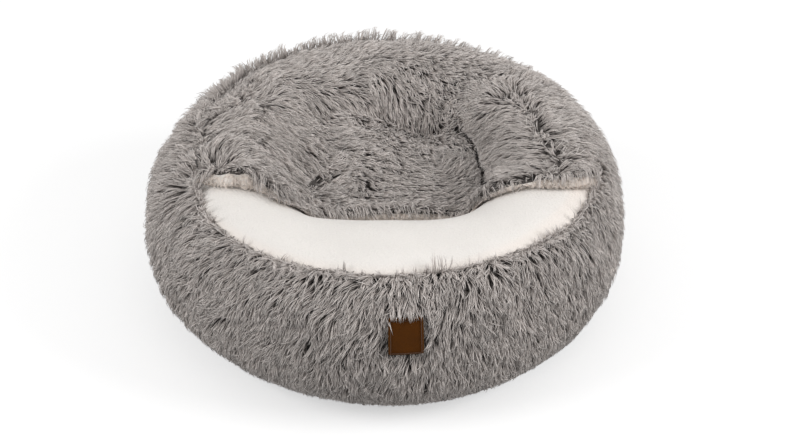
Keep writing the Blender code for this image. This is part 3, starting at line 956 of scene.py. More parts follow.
def spread_pile(rng, root, point, heading, full_length, rise):
    """Strands of tufts at root, one row each: the tuft's own heading, length, bend and tone, which
    also drift over the cloth, and each strand's small differences from them. A few strands
    stray."""
    sizes = bpy.context.scene.bed_sizes
    count, each = len(root), sizes.tuft_strands
    total = count * each
    tuft = np.repeat(np.arange(count), each)
    stray = rng.random(total) < STRAY_SHARE
    heading = heading + DRIFT_TURN * drift(point, 0.040, 5)
    turn = rng.normal(0, TUFT_TURN, count)[tuft] + rng.normal(0, STRAND_TURN, total)
    turn += stray * rng.normal(0, STRAY_TURN, total)
    tuft_length = full_length * rng.uniform(0.80, 1.18, count)
    lying = np.minimum(rise, sizes.pile_rise)
    tuft_rise = rise + lying * (rng.uniform(-0.24, 0.16, count) + 0.10 * drift(point, 0.030, 6))
    tuft_tone = rng.normal(0.5, 0.12, count) + 0.06 * drift(point, 0.050, 7)
    radius = sizes.tuft_spacing * TUFT_RADIUS * np.sqrt(rng.random(total))
    round_it = rng.uniform(0, 2 * math.pi, total)
    return {
        "root": root[tuft],
        "heading": heading[tuft] + turn,
        "length": tuft_length[tuft] * rng.uniform(0.72, 1.05, total),
        "rise": tuft_rise[tuft] + lying[tuft] * (rng.uniform(-0.25, 0.12, total) + 0.12 * stray),
        "bend": rng.normal(0, TUFT_BEND, count)[tuft] + rng.normal(0, STRAND_BEND, total),
        "gather": np.where(stray, 0.1, sizes.gather * rng.uniform(0.85, 1.1, total))
        * (lying / rise)[tuft],
        "off_ahead": radius * np.cos(round_it),
        "off_aside": radius * np.sin(round_it),
        "width": sizes.strand_width * rng.uniform(0.75, 1.2, total),
        "roll": rng.normal(0, 0.5, total),
        "tone": np.clip(tuft_tone[tuft] + rng.normal(0, 0.07, total), 0.03, 0.97),
    }


def chosen(pile, mask):
    """The strands that a mask keeps."""
    return {key: values[mask] for key, values in pile.items()}


def joined(piles):
    """Several lots of strands as one."""
    return {key: np.concatenate([pile[key] for pile in piles]) for key in piles[0]}


def off_line(place, line):
    """Shortest way to each place from a line of straight stretches, and its length."""
    nearest = np.full(len(place), np.inf)
    off = np.zeros_like(place)
    for first, last in zip(line[:-1], line[1:]):
        along = last - first
        share_of = np.clip((place - first) @ along / (along @ along), 0, 1)
        to_place = place - first - share_of[:, None] * along
        distance = np.linalg.norm(to_place, axis=1)
        closer = distance < nearest
        nearest = np.where(closer, distance, nearest)
        off[closer] = to_place[closer]
    return off, nearest


def parted(point, direction, pile_length, pile_rise):
    """Turns pile near a parting away from it by exp(-(d/reach)^2), and shortens and lowers it close
    in."""
    for line, reach, turn, pit in PARTINGS:
        off, distance = off_line(point[:, :2], np.array(line) * SEAM_RADIUS)
        near = turn * np.exp(-((distance / reach) ** 2))
        away = off / np.maximum(distance, 1e-6)[:, None]
        direction = unit(direction * (1 - near)[:, None] + away * (near * 1.3)[:, None])
        close = pit * np.exp(-((distance / (reach * PIT_SHARE)) ** 2))
        pile_rise = pile_rise * (1 - close)
        pile_length = pile_length * (1 - 0.45 * close)
    return direction, pile_length, pile_rise


def stopped(root, step, line, margin):
    """Share of each straight step from a root at which it first comes nearer to a line than its
    margin, or 1 where it doesn't."""
    found = np.ones(len(root))
    for part in np.linspace(1, 0.08, 13):
        near = off_line(root + part * step, line)[1] < margin
        found = np.where(near, part, found)
    return found


def ruffled(rng, point, heading):
    """Headings turned at random along the partings, by up to the ruffle on the line, which fades as
    exp(-(d/reach)^2)."""
    near = np.zeros(len(point))
    for line, *_ in PARTINGS:
        distance = off_line(point[:, :2], np.array(line) * SEAM_RADIUS)[1]
        near = np.maximum(near, np.exp(-((distance / RUFFLE_REACH) ** 2)))
    return heading + near * rng.normal(0, RUFFLE, len(point))


def along_ring(pile):
    """Turns the ring's headings into steps of azimuth and run."""
    table = ring_table()
    radius = np.interp(pile["root"][:, 1], table[:, 0], table[:, 1])
    sine, cosine = np.sin(pile["heading"]), np.cos(pile["heading"])
    pile["ahead"] = np.column_stack([-sine / radius, cosine])
    pile["aside"] = np.column_stack([cosine / radius, sine])
    return pile


def ring_roots(rng):
    """Tufts on the ring in rows one spacing apart from the crest seam to the base seam, each row
    with a whole number of tufts round it, all moved a little from their places."""
    spacing = bpy.context.scene.bed_sizes.tuft_spacing
    table = ring_table()
    end = table[-2, 0]
    rows = np.arange(FIRST_ROW, end, spacing)
    radius = np.interp(rows, table[:, 0], table[:, 1])
    counts = np.round(2 * math.pi * radius / spacing).astype(int)
    row = np.repeat(np.arange(len(rows)), counts)
    place = np.arange(len(row)) - np.repeat(np.cumsum(counts) - counts, counts)
    azimuth = (place + 0.5 * (row % 2)) / counts[row] * 2 * math.pi
    azimuth += rng.uniform(-RING_JITTER, RING_JITTER, len(row)) * spacing / radius[row]
    run = rows[row] + rng.uniform(-RING_JITTER, RING_JITTER, len(row)) * spacing
    return np.column_stack([azimuth % (2 * math.pi), np.clip(run, 0, end)])


def ring_nap(root):
    """Lean and stand of the ring's pile: by azimuth, and from the crest to the foot by the run."""
    nap = np.array(RING_NAP, float)
    azimuth = np.degrees(root[:, 0])
    at_crest, at_foot, stand = (np.interp(azimuth, nap[:, 0], nap[:, k]) for k in (1, 2, 3))
    down = smooth(root[:, 1] / RING_NAP_RUN)
    lean = np.radians(at_crest + (at_foot - at_crest) * down)
    stand = 1 + (stand - 1) * (1 - smooth(root[:, 1] / RING_STAND_RUN))
    return lean, stand * (1 - 0.72 * smooth((root[:, 1] - FOOT_RUN) / FOOT_REACH))


def ring_headings(root, pile_length, pile_rise):
    """Heading of the ring's pile, from straight down towards smaller azimuth, with the partings."""
    lean, stand = ring_nap(root)
    point = ring_surface(root[:, 0], root[:, 1])[0]
    outward = np.column_stack([np.cos(root[:, 0]), np.sin(root[:, 0])])
    back = np.column_stack([outward[:, 1], -outward[:, 0]])
    plan = outward * np.cos(lean)[:, None] + back * np.sin(lean)[:, None]
    plan, pile_length, pile_rise = parted(point, plan, pile_length, pile_rise * stand)
    heading = np.arctan2((plan * back).sum(axis=1), (plan * outward).sum(axis=1))
    return point, heading, pile_length, pile_rise


def trim_at_label(pile):
    """Shortens each strand that would run over the label so that it ends just inside its edge,
    further in at the top, and presses down the ones that grow under it."""
    half = LABEL_WIDTH / 2 / BED_RADIUS
    centre = 1.5 * math.pi + math.asin(LABEL_OFFSET_X / BED_RADIUS)
    table = ring_table()
    heights = LABEL_CENTRE_HEIGHT + np.array([0.5, -0.5]) * LABEL_HEIGHT
    outer = table[:, 0] >= 0
    top, bottom = np.interp(-heights, -table[outer, 2], table[outer, 0])

    def inside(azimuth, run, side_edge, top_edge):
        side = (half - np.abs(azimuth - centre)) * BED_RADIUS
        return (side > side_edge) & (run - top > top_edge) & (bottom - run > side_edge)

    rooted = inside(pile["root"][:, 0], pile["root"][:, 1], 0, 0)
    shares = np.linspace(0, 1, 16)[None, :]
    run = pile["length"][:, None] * shares
    azimuth = pile["root"][:, 0:1] + run * pile["ahead"][:, 0:1]
    down = pile["root"][:, 1:2] + run * pile["ahead"][:, 1:2]
    over = inside(azimuth, down, LABEL_SIDE_OVERLAP, LABEL_TOP_OVERLAP)
    first = np.where(over.any(axis=1), shares[0][np.argmax(over, axis=1)], 1.0)
    beside = inside(pile["root"][:, 0], pile["root"][:, 1], -LABEL_MARGIN, 0)
    above = (first < 1) & (pile["root"][:, 1] < top)
    pile["length"] = np.where(rooted, pile["length"] * 0.5, pile["length"] * np.maximum(first, 0.3))
    pile["length"] *= np.where(beside, 0.75, 1)
    pile["rise"] = np.where(rooted, 0.005, np.where(beside, pile["rise"] * 0.55, pile["rise"]))
    pile["rise"] = np.where(above, np.maximum(pile["rise"], LABEL_STAND), pile["rise"])
    return chosen(pile, ~rooted | (np.arange(len(rooted)) % 3 == 0))


def crest_pile(rng):
    """Short tufts along the crest seam, which lean in over the plush where the nest is open and
    every way in the groove beside the hood; the tufts sown over the seam; and the few longer locks
    that have flicked over it."""
    sizes = bpy.context.scene.bed_sizes

    def sown(azimuth, runs, spread, lengths, rises, out=False):
        """Tufts that lean in over the seam, or lie out as the ring's pile does: roots, headings,
        lengths and rises."""
        count = len(azimuth)
        root = np.column_stack([azimuth, rng.uniform(*runs, count)])
        return (
            root,
            (ring_nap(root)[0] if out else math.pi) + rng.normal(0, 1, count) * spread,
            sizes.ring_pile * rng.uniform(*lengths, count),
            sizes.pile_rise * rng.uniform(*rises, count),
        )

    azimuth = rng.uniform(0, 2 * math.pi, int(2 * math.pi * SEAM_RADIUS / CREST_SPACING))
    is_open = np.abs(azimuth - 1.5 * math.pi) < math.pi / 2 - CORNER_ANGLE
    spread = np.where(is_open, 1.2, 3.0)
    kinds = [sown(azimuth, (-0.0015, 0.0030), spread, (0.26, 0.48), (0.55, 0.90))]
    for first, last, count, *rest in SEAM_TUFTS:
        azimuth = np.radians(rng.uniform(first, last, count)) % (2 * math.pi)
        kinds.append(sown(azimuth, *rest))
    azimuth, run, heading, full, rise = np.array(CREST_FLICKS, float).T
    kinds.append((np.column_stack([np.radians(azimuth), run]), np.radians(heading), full, rise))
    root, heading, full, rise = (np.concatenate(values) for values in zip(*kinds))
    point = ring_surface(root[:, 0], root[:, 1])[0]
    return spread_pile(rng, root, point, heading, full, rise)


def grow_ring_pile():
    """The ring's pile in equal sectors round the bed."""
    sizes = bpy.context.scene.bed_sizes
    rng = np.random.default_rng(11)
    root = ring_roots(rng)
    by_seam = np.exp(-root[:, 1] / 0.006)
    full = np.full(len(root), sizes.ring_pile) * (1 - 0.25 * by_seam)
    rise = np.full(len(root), sizes.pile_rise) * (1 + 0.15 * by_seam)
    point, heading, full, rise = ring_headings(root, full, rise)
    heading += by_seam * rng.normal(0, 0.8, len(root))
    full *= 1 - 0.3 * smooth((root[:, 1] - FOOT_RUN) / FOOT_REACH)
    body = spread_pile(rng, root, point, heading, full, rise)
    pile = trim_at_label(along_ring(joined([body, crest_pile(rng)])))
    sector = (pile["root"][:, 0] / (2 * math.pi) * RING_SECTORS).astype(int) % RING_SECTORS
    made = []
    for number in range(RING_SECTORS):
        part = chosen(pile, sector == number)
        points, normals = strand_paths(ring_surface, part)
        made.append(strand_mesh(f"rim_fur_{number + 1}", points, normals, part))
    return made


def hood_roots(rng):
    """Tufts on the hood: a lattice in plan with its rows shifted by turns, moved a little, kept
    inside the hem and the seam, and thinned where the cloth is flat so that slopes are as full. The
    order of thinning is even, the fractional part of a*row + b*column."""
    spacing = bpy.context.scene.bed_sizes.hood_spacing
    fine = spacing / math.sqrt(HOOD_CROWDING)
    span = np.arange(-SEAM_RADIUS, SEAM_RADIUS, fine)
    x, y = np.meshgrid(span, span)
    number = np.arange(len(span))
    by_row, by_column = THINNING_STEPS
    order = ((by_row * number[:, None] + by_column * number[None, :]) % 1).ravel()
    x = x + 0.5 * fine * (number % 2)[:, None]
    x = (x + rng.uniform(-HOOD_JITTER, HOOD_JITTER, x.shape) * fine).ravel()
    y = (y + rng.uniform(-HOOD_JITTER, HOOD_JITTER, y.shape) * fine).ravel()
    keep = (np.hypot(x, y) < SEAM_RADIUS - SEAM_MARGIN) & (y > hem_y(x) + 0.0015)
    keep &= (y > CORNER_Y) | (np.abs(x) < CORNER_X)
    x, y, order = x[keep], y[keep], order[keep]
    normal = hood_surface(x, y)[1]
    steep = 1 / np.maximum(normal[:, 2], 0.5)
    return np.column_stack([x, y])[order < steep / HOOD_CROWDING]


def hood_headings(root, pile_length, pile_rise):
    """Plan direction of the hood's pile: the mean of the nap's directions, by the inverse fourth
    power of their distance, with the partings."""
    nap = np.array(HOOD_NAP_SHARES, float)
    apart = np.linalg.norm(root[:, None] / SEAM_RADIUS - nap[None, :, :2], axis=2)
    weight = 1 / (apart**4 + 1e-5)
    angle = np.radians(nap[:, 2])
    plan = unit(weight @ np.column_stack([np.cos(angle), np.sin(angle)]))
    plan, pile_length, pile_rise = parted(root, plan, pile_length, pile_rise)
    return np.arctan2(plan[:, 1], plan[:, 0]), pile_length, pile_rise


def hood_strands(name, surface, pile):
    """Strands on the hood as pieces of its left, its middle in two halves and its right, each with
    the side that it belongs to."""
    x = pile["root"][:, 0]
    middle = (x >= -FLAP_LEFT) & (x <= FLAP_RIGHT)
    made = []
    for part, side, mask in (
        ("left", "left", x < -FLAP_LEFT),
        ("middle_left", "middle", middle & (x < 0)),
        ("middle_right", "middle", middle & (x >= 0)),
        ("right", "right", x > FLAP_RIGHT),
    ):
        taken = chosen(pile, mask)
        points, normals = strand_paths(surface, taken)
        made.append((side, strand_mesh(f"{name}_{part}", points, normals, taken)))
    return made


def valley_tufts(rng):
    """Short tufts that stand every way along the hood's turned partings: roots, headings, lengths
    and rises."""
    sizes = bpy.context.scene.bed_sizes
    roots = []
    for line, _, turn, _ in PARTINGS:
        bends = np.array(line) * SEAM_RADIUS
        reach = np.concatenate([[0], np.cumsum(np.linalg.norm(np.diff(bends, axis=0), axis=1))])
        place = rng.uniform(0, reach[-1], int(reach[-1] / VALLEY_SPACING) + VALLEY_LEAST)
        if turn:
            along = [np.interp(place, reach, bends[:, axis]) for axis in (0, 1)]
            roots.append(np.column_stack(along))
    root = np.vstack(roots)
    root = root + rng.normal(0, VALLEY_SPREAD, root.shape)
    inside = np.hypot(root[:, 0], root[:, 1]) < SEAM_RADIUS - SEAM_MARGIN
    root = root[inside & (root[:, 1] > hem_y(root[:, 0]) + 0.002)]
    count = len(root)
    full = sizes.hood_pile * rng.uniform(0.35, 0.55, count)
    rise = sizes.pile_rise * rng.uniform(0.50, 0.85, count)
    return root, rng.uniform(0, 2 * math.pi, count), full, rise


def hem_fringe(rng):
    """Tufts in a row just behind the hem, which lie down over its roll: roots, headings, lengths
    and rises."""
    sizes = bpy.context.scene.bed_sizes
    count = int(2 * CORNER_X / FRINGE_SPACING)
    x = rng.uniform(-0.985, 0.985, count) * CORNER_X
    behind = rng.uniform(0.0005, 0.0055, count)
    nap = np.array(FRINGE_NAP, float)
    heading = np.radians(np.interp(x / SEAM_RADIUS, nap[:, 0], nap[:, 1]))
    down = np.abs(np.sin(heading))
    heading = heading + rng.normal(0, math.radians(22), count)
    radius, overhang = hem_form(x)
    stray = FRINGE_STRAY * rng.exponential(1, count)
    full = (behind + radius * 0.6 + overhang * rng.uniform(0.75, 1.15, count) + stray) / down
    full = np.maximum(full, FRINGE_STRAY)
    rise = sizes.pile_rise * (0.28 + 0.27 * np.minimum(overhang / 0.010, 1))
    return np.column_stack([x, hem_y(x) + behind]), heading, full, rise


def grow_hood_pile():
    """The hood's pile. Strands that head over the hem end at the overhang that the hem has there,
    and strands that head for a crease end before it."""
    sizes = bpy.context.scene.bed_sizes
    rng = np.random.default_rng(23)
    root = hood_roots(rng)
    inset = SEAM_RADIUS - np.hypot(root[:, 0], root[:, 1])
    full = np.full(len(root), sizes.hood_pile)
    azimuth = np.degrees(np.arctan2(root[:, 1], root[:, 0]))
    merged = np.interp(azimuth, *zip(*HOOD_MERGED))
    rise = sizes.pile_rise * (0.95 - 0.5 * (1 - merged) * (1 - np.clip(inset / MERGING, 0, 1)))
    heading, full, rise = hood_headings(root, full, rise)
    heading = ruffled(rng, root, heading)
    kinds = ((root, heading, full, rise), hem_fringe(rng), valley_tufts(rng))
    root, heading, full, rise = (np.concatenate(values) for values in zip(*kinds))
    pile = spread_pile(rng, root, np.column_stack([root, 0 * heading]), heading, full, rise)
    ahead = np.column_stack([np.cos(pile["heading"]), np.sin(pile["heading"])])
    normal = hood_surface(pile["root"][:, 0], pile["root"][:, 1])[1]
    climb = -(normal[:, :2] * ahead).sum(axis=1) / normal[:, 2]
    pile["ahead"] = ahead / np.sqrt(1 + climb**2)[:, None]
    pile["aside"] = np.column_stack([-ahead[:, 1], ahead[:, 0]])
    tip = pile["root"] + pile["length"][:, None] * pile["ahead"]
    past = hem_y(tip[:, 0]) - tip[:, 1]
    past -= hem_form(tip[:, 0])[1] * rng.uniform(0.35, 1.3, len(tip))
    past -= FRINGE_STRAY * rng.exponential(1, len(tip))
    spare = past / np.maximum(-pile["length"] * pile["ahead"][:, 1], 1e-6)
    kept = np.where(past > 0, np.clip(1 - spare, 0.3, 1), 1.0)
    clear = np.ones(len(tip), bool)
    for shares, margin in CREASES:
        line = np.array(shares) * SEAM_RADIUS
        off = margin * rng.uniform(0.35, 1.30, len(tip))
        kept = np.minimum(kept, stopped(pile["root"], tip - pile["root"], line, off))
        clear &= off_line(pile["root"], line)[1] > off
    pile["length"] *= kept
    pile["rise"] *= 0.5 + 0.5 * kept
    return hood_strands("hood_fur", hood_surface, chosen(pile, clear))


def roll_surface(x, turn):
    """Point on the hem's roll at a place along it and a turn up from straight ahead, and the
    normal: an ellipse of the roll's radius above and ahead, and of its depth below."""
    radius = hem_form(x)[0]
    depth = np.minimum(radius, HEM_ROLL_DEPTH)
    slope = (hem_y(x + 0.001) - hem_y(x - 0.001)) / 0.002
    out = unit(np.stack([slope, -np.ones_like(slope)], axis=-1))
    high = np.where(np.sin(turn) > 0, radius, depth)
    y = hem_y(x)
    cosine, sine = np.cos(turn), np.sin(turn)
    ahead, height = radius * cosine, hood_height(x, y) + high * sine
    point = np.stack([x + out[..., 0] * ahead, y + out[..., 1] * ahead, height], axis=-1)
    return point, unit(np.stack([out[..., 0] * cosine, out[..., 1] * cosine, sine], axis=-1))


def grow_hem_pile():
    """Short cream pile on the front of the hem's roll."""
    sizes = bpy.context.scene.bed_sizes
    rng = np.random.default_rng(37)
    count = int(2 * CORNER_X * HEM_PILE_ARC / HEM_PILE_SPACING**2)
    root = np.column_stack([rng.uniform(-CORNER_X, CORNER_X, count), rng.uniform(-1.1, 1.6, count)])
    radius = hem_form(root[:, 0])[0]
    point = roll_surface(root[:, 0], root[:, 1])[0]
    full = sizes.hem_pile * rng.uniform(0.7, 1.2, count)
    rise = sizes.hem_pile * rng.uniform(0.20, 0.55, count)
    heading = rng.normal(-math.pi / 2, 0.9, count)
    pile = spread_pile(rng, root, point, heading, full, rise)
    radius = np.repeat(radius, sizes.tuft_strands)
    sine, cosine = np.sin(pile["heading"]), np.cos(pile["heading"])
    pile["ahead"] = np.column_stack([cosine, sine / radius])
    pile["aside"] = np.column_stack([-sine, cosine / radius])
    pile["width"] *= 0.42
    pile["off_ahead"] *= 0.6
    pile["off_aside"] *= 0.6
    return hood_strands("hood_hem_pile", roll_surface, pile)


# ---------------------------------------------------------------------------------------------
# Finishes


def new_material(name, roughness, **constants):
    """Material with a Principled shader, its plain values set on the shader's own sockets."""
    made = bpy.data.materials.new(name)
    made.use_nodes = True
    shader = made.node_tree.nodes["Principled BSDF"]
    shader.inputs["Roughness"].default_value = roughness
    for socket, value in constants.items():
        shader.inputs[socket.replace("_", " ")].default_value = value
    return made, made.node_tree, shader


def node(tree, kind, values=None, **settings):
    """New node with its settings, and its inputs set or linked by name or number."""
    made = tree.nodes.new(kind)
    for key, value in settings.items():
        setattr(made, key, value)
    for key, value in (values or {}).items():
        if isinstance(value, bpy.types.NodeSocket):
            tree.links.new(value, made.inputs[key])
        else:
            made.inputs[key].default_value = value
    return made


def rgba(value):
    """Colour with full alpha."""
    return (*value, 1.0)


def mixed_colour(tree, factor, first, second):
    """Output of a mix of two colours by a factor, each a plain colour or another node's output."""
    values = {"Factor": factor}
    for key, value in (("A", first), ("B", second)):
        values[key] = value if isinstance(value, bpy.types.NodeSocket) else rgba(value)
    return node(tree, "ShaderNodeMix", values, data_type="RGBA").outputs["Result"]


def mottle_group():
    """Node group of soft cloth: a colour that drifts between two, and a height of fine pile."""
    group = bpy.data.node_groups.get("Soft Pile")
    if group:
        return group
    group = bpy.data.node_groups.new("Soft Pile", "ShaderNodeTree")
    for name, kind, default in (
        ("Dark", "NodeSocketColor", (0.5, 0.5, 0.5, 1)),
        ("Light", "NodeSocketColor", (0.8, 0.8, 0.8, 1)),
        ("Patch Scale", "NodeSocketFloat", 20.0),
        ("Pile Scale", "NodeSocketFloat", 500.0),
    ):
        socket = group.interface.new_socket(name, in_out="INPUT", socket_type=kind)
        socket.default_value = default
    group.interface.new_socket("Colour", in_out="OUTPUT", socket_type="NodeSocketColor")
    group.interface.new_socket("Height", in_out="OUTPUT", socket_type="NodeSocketFloat")
    given = group.nodes.new("NodeGroupInput")
    place = node(group, "ShaderNodeTexCoord").outputs["Object"]
    patch = node(
        group, "ShaderNodeTexNoise", {"Vector": place, "Scale": given.outputs["Patch Scale"]}
    )
    fine = node(
        group,
        "ShaderNodeTexNoise",
        {"Vector": place, "Scale": given.outputs["Pile Scale"], "Detail": 3.0, "Roughness": 0.6},
    )
    both = node(
        group, "ShaderNodeMath", {0: patch.outputs["Fac"], 1: fine.outputs["Fac"]}, operation="ADD"
    )
    share_of = node(
        group, "ShaderNodeMapRange", {"Value": both.outputs[0], "From Min": 0.7, "From Max": 1.3}
    )
    mixed = mixed_colour(group, share_of.outputs[0], given.outputs["Dark"], given.outputs["Light"])
    shown = group.nodes.new("NodeGroupOutput")
    group.links.new(mixed, shown.inputs["Colour"])
    group.links.new(fine.outputs["Fac"], shown.inputs["Height"])
    return group


def soft_material(name, dark, light, patch_scale, pile_scale, depth, roughness, painted_shade=None):
    """Soft cloth from the Soft Pile group, with a bump, and with a second colour where the piece's
    own map says so: a beige painted shade where the long pile lies over the cream pile."""
    found = bpy.data.materials.get(name)
    if found:
        return found
    made, tree, shader = new_material(name, roughness)
    values = {
        "Dark": rgba(dark),
        "Light": rgba(light),
        "Patch Scale": patch_scale,
        "Pile Scale": pile_scale,
    }
    soft = node(tree, "ShaderNodeGroup", values, node_tree=mottle_group())
    bump = node(tree, "ShaderNodeBump", {"Height": soft.outputs["Height"], "Distance": depth})
    shown = soft.outputs["Colour"]
    # Painted shade: beige where the piece's map says the long pile shades the cream pile
    if painted_shade is not None:
        shade_share = node(tree, "ShaderNodeAttribute", attribute_name=SHADE_MAP)
        shown = mixed_colour(tree, shade_share.outputs["Fac"], shown, painted_shade)
    tree.links.new(shown, shader.inputs["Base Color"])
    tree.links.new(bump.outputs["Normal"], shader.inputs["Normal"])
    return made


def plush_material():
    """Short cream pile, tinted beige with painted shade where the long pile lies over it."""
    colours = bpy.context.scene.bed_colours
    plush = np.array(colours.plush)
    light = np.minimum(plush * 1.02, 1)
    name, dark = "short_cream_pile", plush * 0.95
    return soft_material(name, dark, light, 14, 420, 0.0012, 0.95, colours.hem)


def backing_material():
    """Dark cloth that the long pile grows from, partly painted shade in the gaps of the pile."""
    backing = np.array(bpy.context.scene.bed_colours.backing)
    return soft_material("pile_backing", backing * 0.7, backing * 1.3, 60, 700, 0.0008, 0.95)


def fibre_material():
    """Loose white stuffing."""
    fibre = np.array(bpy.context.scene.bed_colours.fibre)
    return soft_material("stuffing_fibre", fibre * 0.85, fibre, 40, 300, 0.002, 1.0)


def pile_material(name, root, middle, tip, spread):
    """Pile by the strands' own map: from the root's colour through the middle's to the tip's, and
    each strand lighter or darker by up to the spread."""
    found = bpy.data.materials.get(name)
    if found:
        return found
    made, tree, shader = new_material(name, 0.62, Specular_IOR_Level=0.35)
    place = node(tree, "ShaderNodeUVMap", uv_map=FUR_MAP).outputs["UV"]
    parts = node(tree, "ShaderNodeSeparateXYZ", {"Vector": place})
    ramp = node(tree, "ShaderNodeValToRGB", {"Fac": parts.outputs["Y"]})
    stops = ramp.color_ramp.elements
    stops[0].position, stops[0].color = 0.0, rgba(root)
    stops[1].position, stops[1].color = 1.0, rgba(tip)
    stops.new(0.45).color = rgba(middle)
    tone = node(
        tree,
        "ShaderNodeMapRange",
        {"Value": parts.outputs["X"], "To Min": 1 - spread, "To Max": 1 + spread},
    )
    shaded = node(
        tree,
        "ShaderNodeVectorMath",
        {0: ramp.outputs["Color"], "Scale": tone.outputs[0]},
        operation="SCALE",
    )
    tree.links.new(shaded.outputs["Vector"], shader.inputs["Base Color"])
    return made


def fur_material():
    """Long pile: dark at the root, own colour and painted shade, through grey to light tips."""
    colours = bpy.context.scene.bed_colours
    shades = colours.fur_root, colours.fur_middle, colours.fur_tip
    return pile_material("long_grey_pile", *shades, 0.30)


def wisp_material():
    """Strands of the cream pile, beige with painted shade at the root."""
    colours = bpy.context.scene.bed_colours
    middle = (np.array(colours.hem) + np.array(colours.plush)) / 2
    return pile_material("cream_pile_painted_shade", colours.hem, colours.hem, middle, 0.08)


def base_material():
    """Base cloth: a plain weave of two crossed waves, with round raised grip dots on a square
    lattice."""
    found = bpy.data.materials.get("dotted_weave")
    if found:
        return found
    colours = bpy.context.scene.bed_colours
    made, tree, shader = new_material("dotted_weave", 0.8)
    place = node(tree, "ShaderNodeTexCoord").outputs["Object"]
    dots = node(
        tree,
        "ShaderNodeTexVoronoi",
        {"Vector": place, "Scale": 110.0, "Randomness": 0.0},
        voronoi_dimensions="2D",
    )
    dot = node(
        tree,
        "ShaderNodeMapRange",
        {"Value": dots.outputs["Distance"], "From Min": 0.20, "From Max": 0.15},
    )
    waves = [
        node(tree, "ShaderNodeTexWave", {"Vector": place, "Scale": 420.0}, bands_direction=axis)
        for axis in ("X", "Y")
    ]
    weave = node(
        tree,
        "ShaderNodeMath",
        {0: waves[0].outputs["Fac"], 1: waves[1].outputs["Fac"]},
        operation="MULTIPLY",
    )
    base = np.array(colours.base)
    cloth = mixed_colour(tree, weave.outputs[0], base * 0.7, base * 1.3)
    whole = mixed_colour(tree, dot.outputs[0], cloth, colours.dots)
    height = node(tree, "ShaderNodeMath", {0: dot.outputs[0], 1: weave.outputs[0]}, operation="ADD")
    bump = node(tree, "ShaderNodeBump", {"Height": height.outputs[0], "Distance": 0.0006})
    rough = node(
        tree, "ShaderNodeMapRange", {"Value": dot.outputs[0], "To Min": 0.9, "To Max": 0.4}
    )
    tree.links.new(whole, shader.inputs["Base Color"])
    tree.links.new(rough.outputs[0], shader.inputs["Roughness"])
    tree.links.new(bump.outputs["Normal"], shader.inputs["Normal"])
    return made


def leather_material():
    """Leatherette: fine grain, a drifting brown, and a darker cut edge by the label's own map."""
    found = bpy.data.materials.get("grained_leatherette")
    if found:
        return found
    colours = bpy.context.scene.bed_colours
    made, tree, shader = new_material("grained_leatherette", 0.6, Specular_IOR_Level=0.1)
    place = node(tree, "ShaderNodeTexCoord").outputs["Object"]
    clouds = node(tree, "ShaderNodeTexNoise", {"Vector": place, "Scale": 70.0, "Detail": 2.0})
    grain = node(tree, "ShaderNodeTexVoronoi", {"Vector": place, "Scale": 1400.0})
    brown = np.array(colours.label)
    middle = mixed_colour(tree, clouds.outputs["Fac"], brown * 0.72, brown * 1.25)
    edge = node(tree, "ShaderNodeAttribute", attribute_name=EDGE_MAP)
    whole = mixed_colour(tree, edge.outputs["Fac"], middle, colours.label_edge)
    bump = node(tree, "ShaderNodeBump", {"Height": grain.outputs["Distance"], "Distance": 0.0002})
    tree.links.new(whole, shader.inputs["Base Color"])
    tree.links.new(bump.outputs["Normal"], shader.inputs["Normal"])
    return made


def thread_material(name, shade):
    """Sewing thread: fine plies as a slanted wave."""
    found = bpy.data.materials.get(name)
    if found:
        return found
    made, tree, shader = new_material(name, 0.7)
    place = node(tree, "ShaderNodeTexCoord").outputs["Object"]
    plies = node(
        tree, "ShaderNodeTexWave", {"Vector": place, "Scale": 500.0}, bands_direction="DIAGONAL"
    )
    shade = np.array(shade)
    mixed = mixed_colour(tree, plies.outputs["Fac"], shade * 0.6, shade * 1.3)
    bump = node(tree, "ShaderNodeBump", {"Height": plies.outputs["Fac"], "Distance": 0.0002})
    tree.links.new(mixed, shader.inputs["Base Color"])
    tree.links.new(bump.outputs["Normal"], shader.inputs["Normal"])
    return made


def mapped(obj, name, value_at):
    """Gives a piece a map of numbers, from a function of its points."""
    place = np.empty(len(obj.data.vertices) * 3)
    obj.data.vertices.foreach_get("co", place)
    made = obj.data.attributes.new(name, "FLOAT", "POINT")
    made.data.foreach_set("value", value_at(place.reshape(-1, 3)))


def near_seam(place, reach):
    """Smoothstep of a point's radius, up to 1 at the crest seam."""
    return smooth((np.hypot(place[:, 0], place[:, 1]) - SEAM_RADIUS) / reach + 1)


def finish(obj, material):
    """Gives a piece its material."""
    obj.data.materials.clear()
    obj.data.materials.append(material)
    return obj


# ---------------------------------------------------------------------------------------------
# Pieces


def blend_hood(obj, side):
    """Bakes a part of the hood's place into its points. For a side it also finds where its inner
    edge and its sewn corner lie in the nest, which nothing uses."""
    if side == "middle":
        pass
    else:
        sign = -1 if side == "left" else 1
        edge = (-FLAP_LEFT if side == "left" else FLAP_RIGHT, 0, RIM_HEIGHT)
        (inner, _, _), (outer, _, _) = nested([edge, (sign * CORNER_X, CORNER_Y, RIM_HEIGHT)])
    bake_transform(obj)


